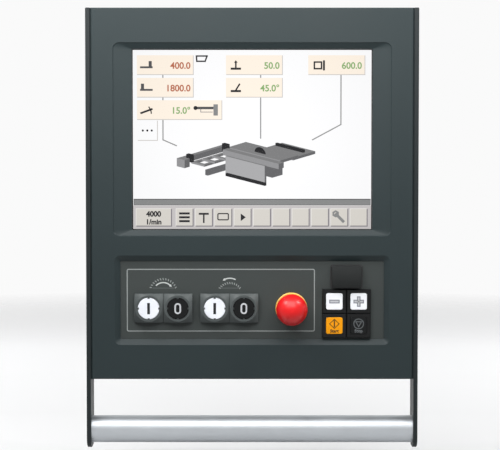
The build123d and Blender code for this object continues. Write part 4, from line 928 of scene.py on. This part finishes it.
def soft_keys(page):
    for layer, (ink, z, width, height) in enumerate(STRIP_SHEETS, ROW_LAYER):
        page.bar(ink, 0, z, width, height, layer=layer)
    foot = -SCREEN_SIZE[1] / 2
    page.bar(key_row, 0, (KEY_ROW_TOP + foot) / 2, SCREEN_SIZE[0], KEY_ROW_TOP - foot, layer=ROW_LAYER)
    for x, width in SOFT_KEYS:
        for layer, (ink, shift, spare) in enumerate(KEY_SHEETS, KEY_LAYER):
            page.bar(ink, x + shift, KEY_MIDDLE - shift, width + spare, KEY_HEIGHT + spare, layer=layer)
    for place, sign in KEY_SIGNS.items():
        sign(page, SOFT_KEYS[place][0], KEY_MIDDLE)


def screen_page():
    page = Marks("screen_page", "panel", cell, PAGE_INKS)
    page.bar(page_white, 0, 0, *SCREEN_SIZE)
    value_fields(page)
    value_signs(page)
    machine_drawing(page)
    soft_keys(page)
    page.done()


# Return springs of the push buttons, which each button squeezes as it is pressed; here they are drawn fixed
# to the panel, one behind each button. Radius and wire are in mm
SPRING_RADIUS = 7.0
SPRING_WIRE = 0.5  # half of the wire's thickness
WIRE_SIDES = 10
SPRING_TURNS = 6
SPRING_STEPS = 40  # in each turn


def return_springs():
    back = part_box("button_springs")[1].y
    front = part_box("button_springs")[0].y
    length = back - front
    steps = SPRING_TURNS * SPRING_STEPS
    rise = (length / MM - 2 * SPRING_WIRE) / steps
    for switch in SWITCHES:
        axis = middle(switch + "_button")
        anchor = (axis.x, back, axis.z)
        coil = bmesh.new()
        wire = bmesh.ops.create_circle(coil, cap_ends=True, radius=SPRING_WIRE, segments=WIRE_SIDES)
        start = Matrix.Translation((SPRING_RADIUS, 0, SPRING_WIRE)) @ UPRIGHT
        bmesh.ops.transform(coil, matrix=start, verts=wire["verts"])
        cut = {face for corner in wire["verts"] for face in corner.link_faces}
        bmesh.ops.spin(
            coil, geom=list(cut), cent=(0, 0, 0), axis=(0, 0, 1), dvec=(0, 0, rise),
            angle=math.tau * SPRING_TURNS, steps=steps,
        )
        bmesh.ops.recalc_face_normals(coil, faces=coil.faces)
        place = Matrix.Translation(anchor) @ Matrix.Scale(MM, 4) @ UPRIGHT
        bmesh.ops.transform(coil, matrix=place, verts=coil.verts)
        for face in coil.faces:
            face.smooth = True
        spring = add_piece(switch + "_spring", coil, [zinc], "panel")
        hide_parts("button_springs")
        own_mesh(spring)


plate_marks()
button_marks()
key_marks()
screen_page()
return_springs()

# Studio, in metres: a pale floor under the panel, a pale sky and soft lamps
FLOOR_DROP = 0.05
FLOOR_REACH = 1.7
FLOOR_FADE = 0.6
FLOOR_SIDES = 96
FLOOR_CENTRE = Vector((0, 0.7, cad_box[0].z - FLOOR_DROP))
# The floor's colour for stray light, and a painted shadow where it is seen just under the panel
FLOOR_STRAY_AND_PAINTED_SHADOW = shade(160, 161, 162)
FLOOR_PALE = shade(229, 229, 229)
GLOW_NEAR = shade(80, 80, 81)
GLOW_FAR = shade(150, 150, 151)
GLOW_LIMITS = (0.45, 1.2)
# A painted shadow on the floor under the panel, also seen in reflections: its middle, how it is stretched,
# and the distances over which it gives way to the pale floor. The glow grows with the distance from the same
# middle
PAINTED_SHADOW_CENTRE = Vector((0, -0.05, FLOOR_CENTRE.z))
PAINTED_SHADOW_STRETCH = (0.4, 1, 1)
PAINTED_SHADOW_LIMITS = (0.06, 0.18)


def studio_floor():
    """A round floor that fades out. What is seen of it is pale and glows, but just under the panel it is a
    painted shadow, darker and without the glow.
    """
    mesh = bmesh.new()
    bmesh.ops.create_circle(mesh, cap_ends=True, radius=FLOOR_REACH, segments=FLOOR_SIDES)
    bmesh.ops.translate(mesh, vec=FLOOR_CENTRE, verts=mesh.verts)
    paint = surface("floor_paint", {"Roughness": 0.9, "Specular IOR Level": 0.1, "Emission Strength": 1.0})
    clear = paint.distance(PAINTED_SHADOW_CENTRE, PAINTED_SHADOW_STRETCH)
    # 0 in the painted shadow under the panel and for stray light, 1 for the pale floor that is seen
    seen_beyond_painted_shadow = paint.seen() * paint.contrast(clear, *PAINTED_SHADOW_LIMITS)
    far_glow = paint.mix(GLOW_NEAR, GLOW_FAR, paint.contrast(clear, *GLOW_LIMITS))
    paint.dress({
        "Base Color": paint.mix(FLOOR_STRAY_AND_PAINTED_SHADOW, FLOOR_PALE, seen_beyond_painted_shadow),
        "Emission Color": paint.mix(NO_LIGHT, far_glow, seen_beyond_painted_shadow),
        "Alpha": 1 - paint.contrast(paint.distance(FLOOR_CENTRE), FLOOR_FADE, FLOOR_REACH),
    })
    floor = add_mesh("studio_floor", mesh, [paint])


SKY_SEEN = shade(250, 250, 250)
SKY_ROOM = shade(84, 86, 88)
BACKDROP_FOOT = shade(205, 206, 207)
BACKDROP_TOP = shade(110, 111, 112)
# Parts of a direction's length of 1, from where each share of the sky is 0 to where it is 1
BEHIND_LIMITS = (-0.3, 0.6)
LOW_LIMITS = (0.62, 0.3)
RISE_LIMITS = (0, 0.27)


def studio_sky():
    """What is seen of it is pale behind the panel and low all round. Its stray light is dimmer, most of it
    from a backdrop behind the panel that is lit from below."""
    sky = Finish(bpy.data.worlds.new("studio_sky"), "Background", {"Strength": 1.0})
    way = sky.node("TexCoord", out="Generated")
    depth = sky.node("SeparateXYZ", sockets={0: way}, out="Y")
    height = sky.node("SeparateXYZ", sockets={0: way}, out="Z")
    behind = sky.contrast(depth, *BEHIND_LIMITS)
    low = sky.contrast(height, *LOW_LIMITS)
    backdrop = sky.mix(BACKDROP_FOOT, BACKDROP_TOP, sky.contrast(height, *RISE_LIMITS))
    stray = sky.mix(SKY_ROOM, backdrop, behind)
    pale = behind + low - behind * low
    sky.dress({"Color": sky.mix(stray, SKY_SEEN, sky.seen() * pale)})
    bpy.context.scene.world = sky.holder


# Each lamp: name, place, what it points at, width, height, and power in watts
LAMPS = [
    ("front_softbox", (-0.05, -0.62, 0.47), (0, -0.15, 0.2), 0.85, 0.6, 8.4),
    ("left_lamp", (-0.58, -0.37, 0.65), (0, -0.15, 0), 0.25, 0.25, 4.5),
    ("right_lamp", (0.66, -0.37, 0.65), (0, -0.15, 0), 0.25, 0.25, 4.5),
    ("left_rear_lamp", (-1.3, 1.0, 0.7), (0, -0.05, 0), 0.6, 0.6, 14),
    ("right_rear_lamp", (1.3, 1.0, 0.7), (0, -0.05, 0), 0.6, 0.6, 14),
]


def studio_lamps():
    for name, place, target, width, height, power in LAMPS:
        lamp = bpy.data.lights.new(name, "AREA")
        lamp.shape = "RECTANGLE"
        lamp.size = width
        lamp.size_y = height
        lamp.energy = power
        holder = add_object(name, lamp)
        holder.location = place
        holder.rotation_euler = (Vector(target) - Vector(place)).to_track_quat("-Z", "Y").to_euler()


CAMERA_DISTANCE = 1.6
CAMERA_TILT = 2.4  # degrees down
CAMERA_AIM = Vector((-0.0022, -0.151, -0.0316))
SENSOR_WIDTH = 36.0  # mm
PIXELS_ACROSS = 500
MM_PER_PIXEL = 1.028


def studio_camera():
    lens = bpy.data.cameras.new("photo_camera")
    lens.sensor_width = SENSOR_WIDTH
    lens.lens = SENSOR_WIDTH * CAMERA_DISTANCE / (PIXELS_ACROSS * MM_PER_PIXEL * MM)
    camera = add_object("photo_camera", lens)
    tilt = math.radians(CAMERA_TILT)
    camera.location = CAMERA_AIM + Vector((0, -math.cos(tilt), math.sin(tilt))) * CAMERA_DISTANCE
    camera.rotation_euler = (math.radians(90) - tilt, 0, 0)
    bpy.context.scene.camera = camera


studio_floor()
studio_sky()
studio_lamps()
studio_camera()
bpy.context.scene.view_settings.view_transform = "Standard"
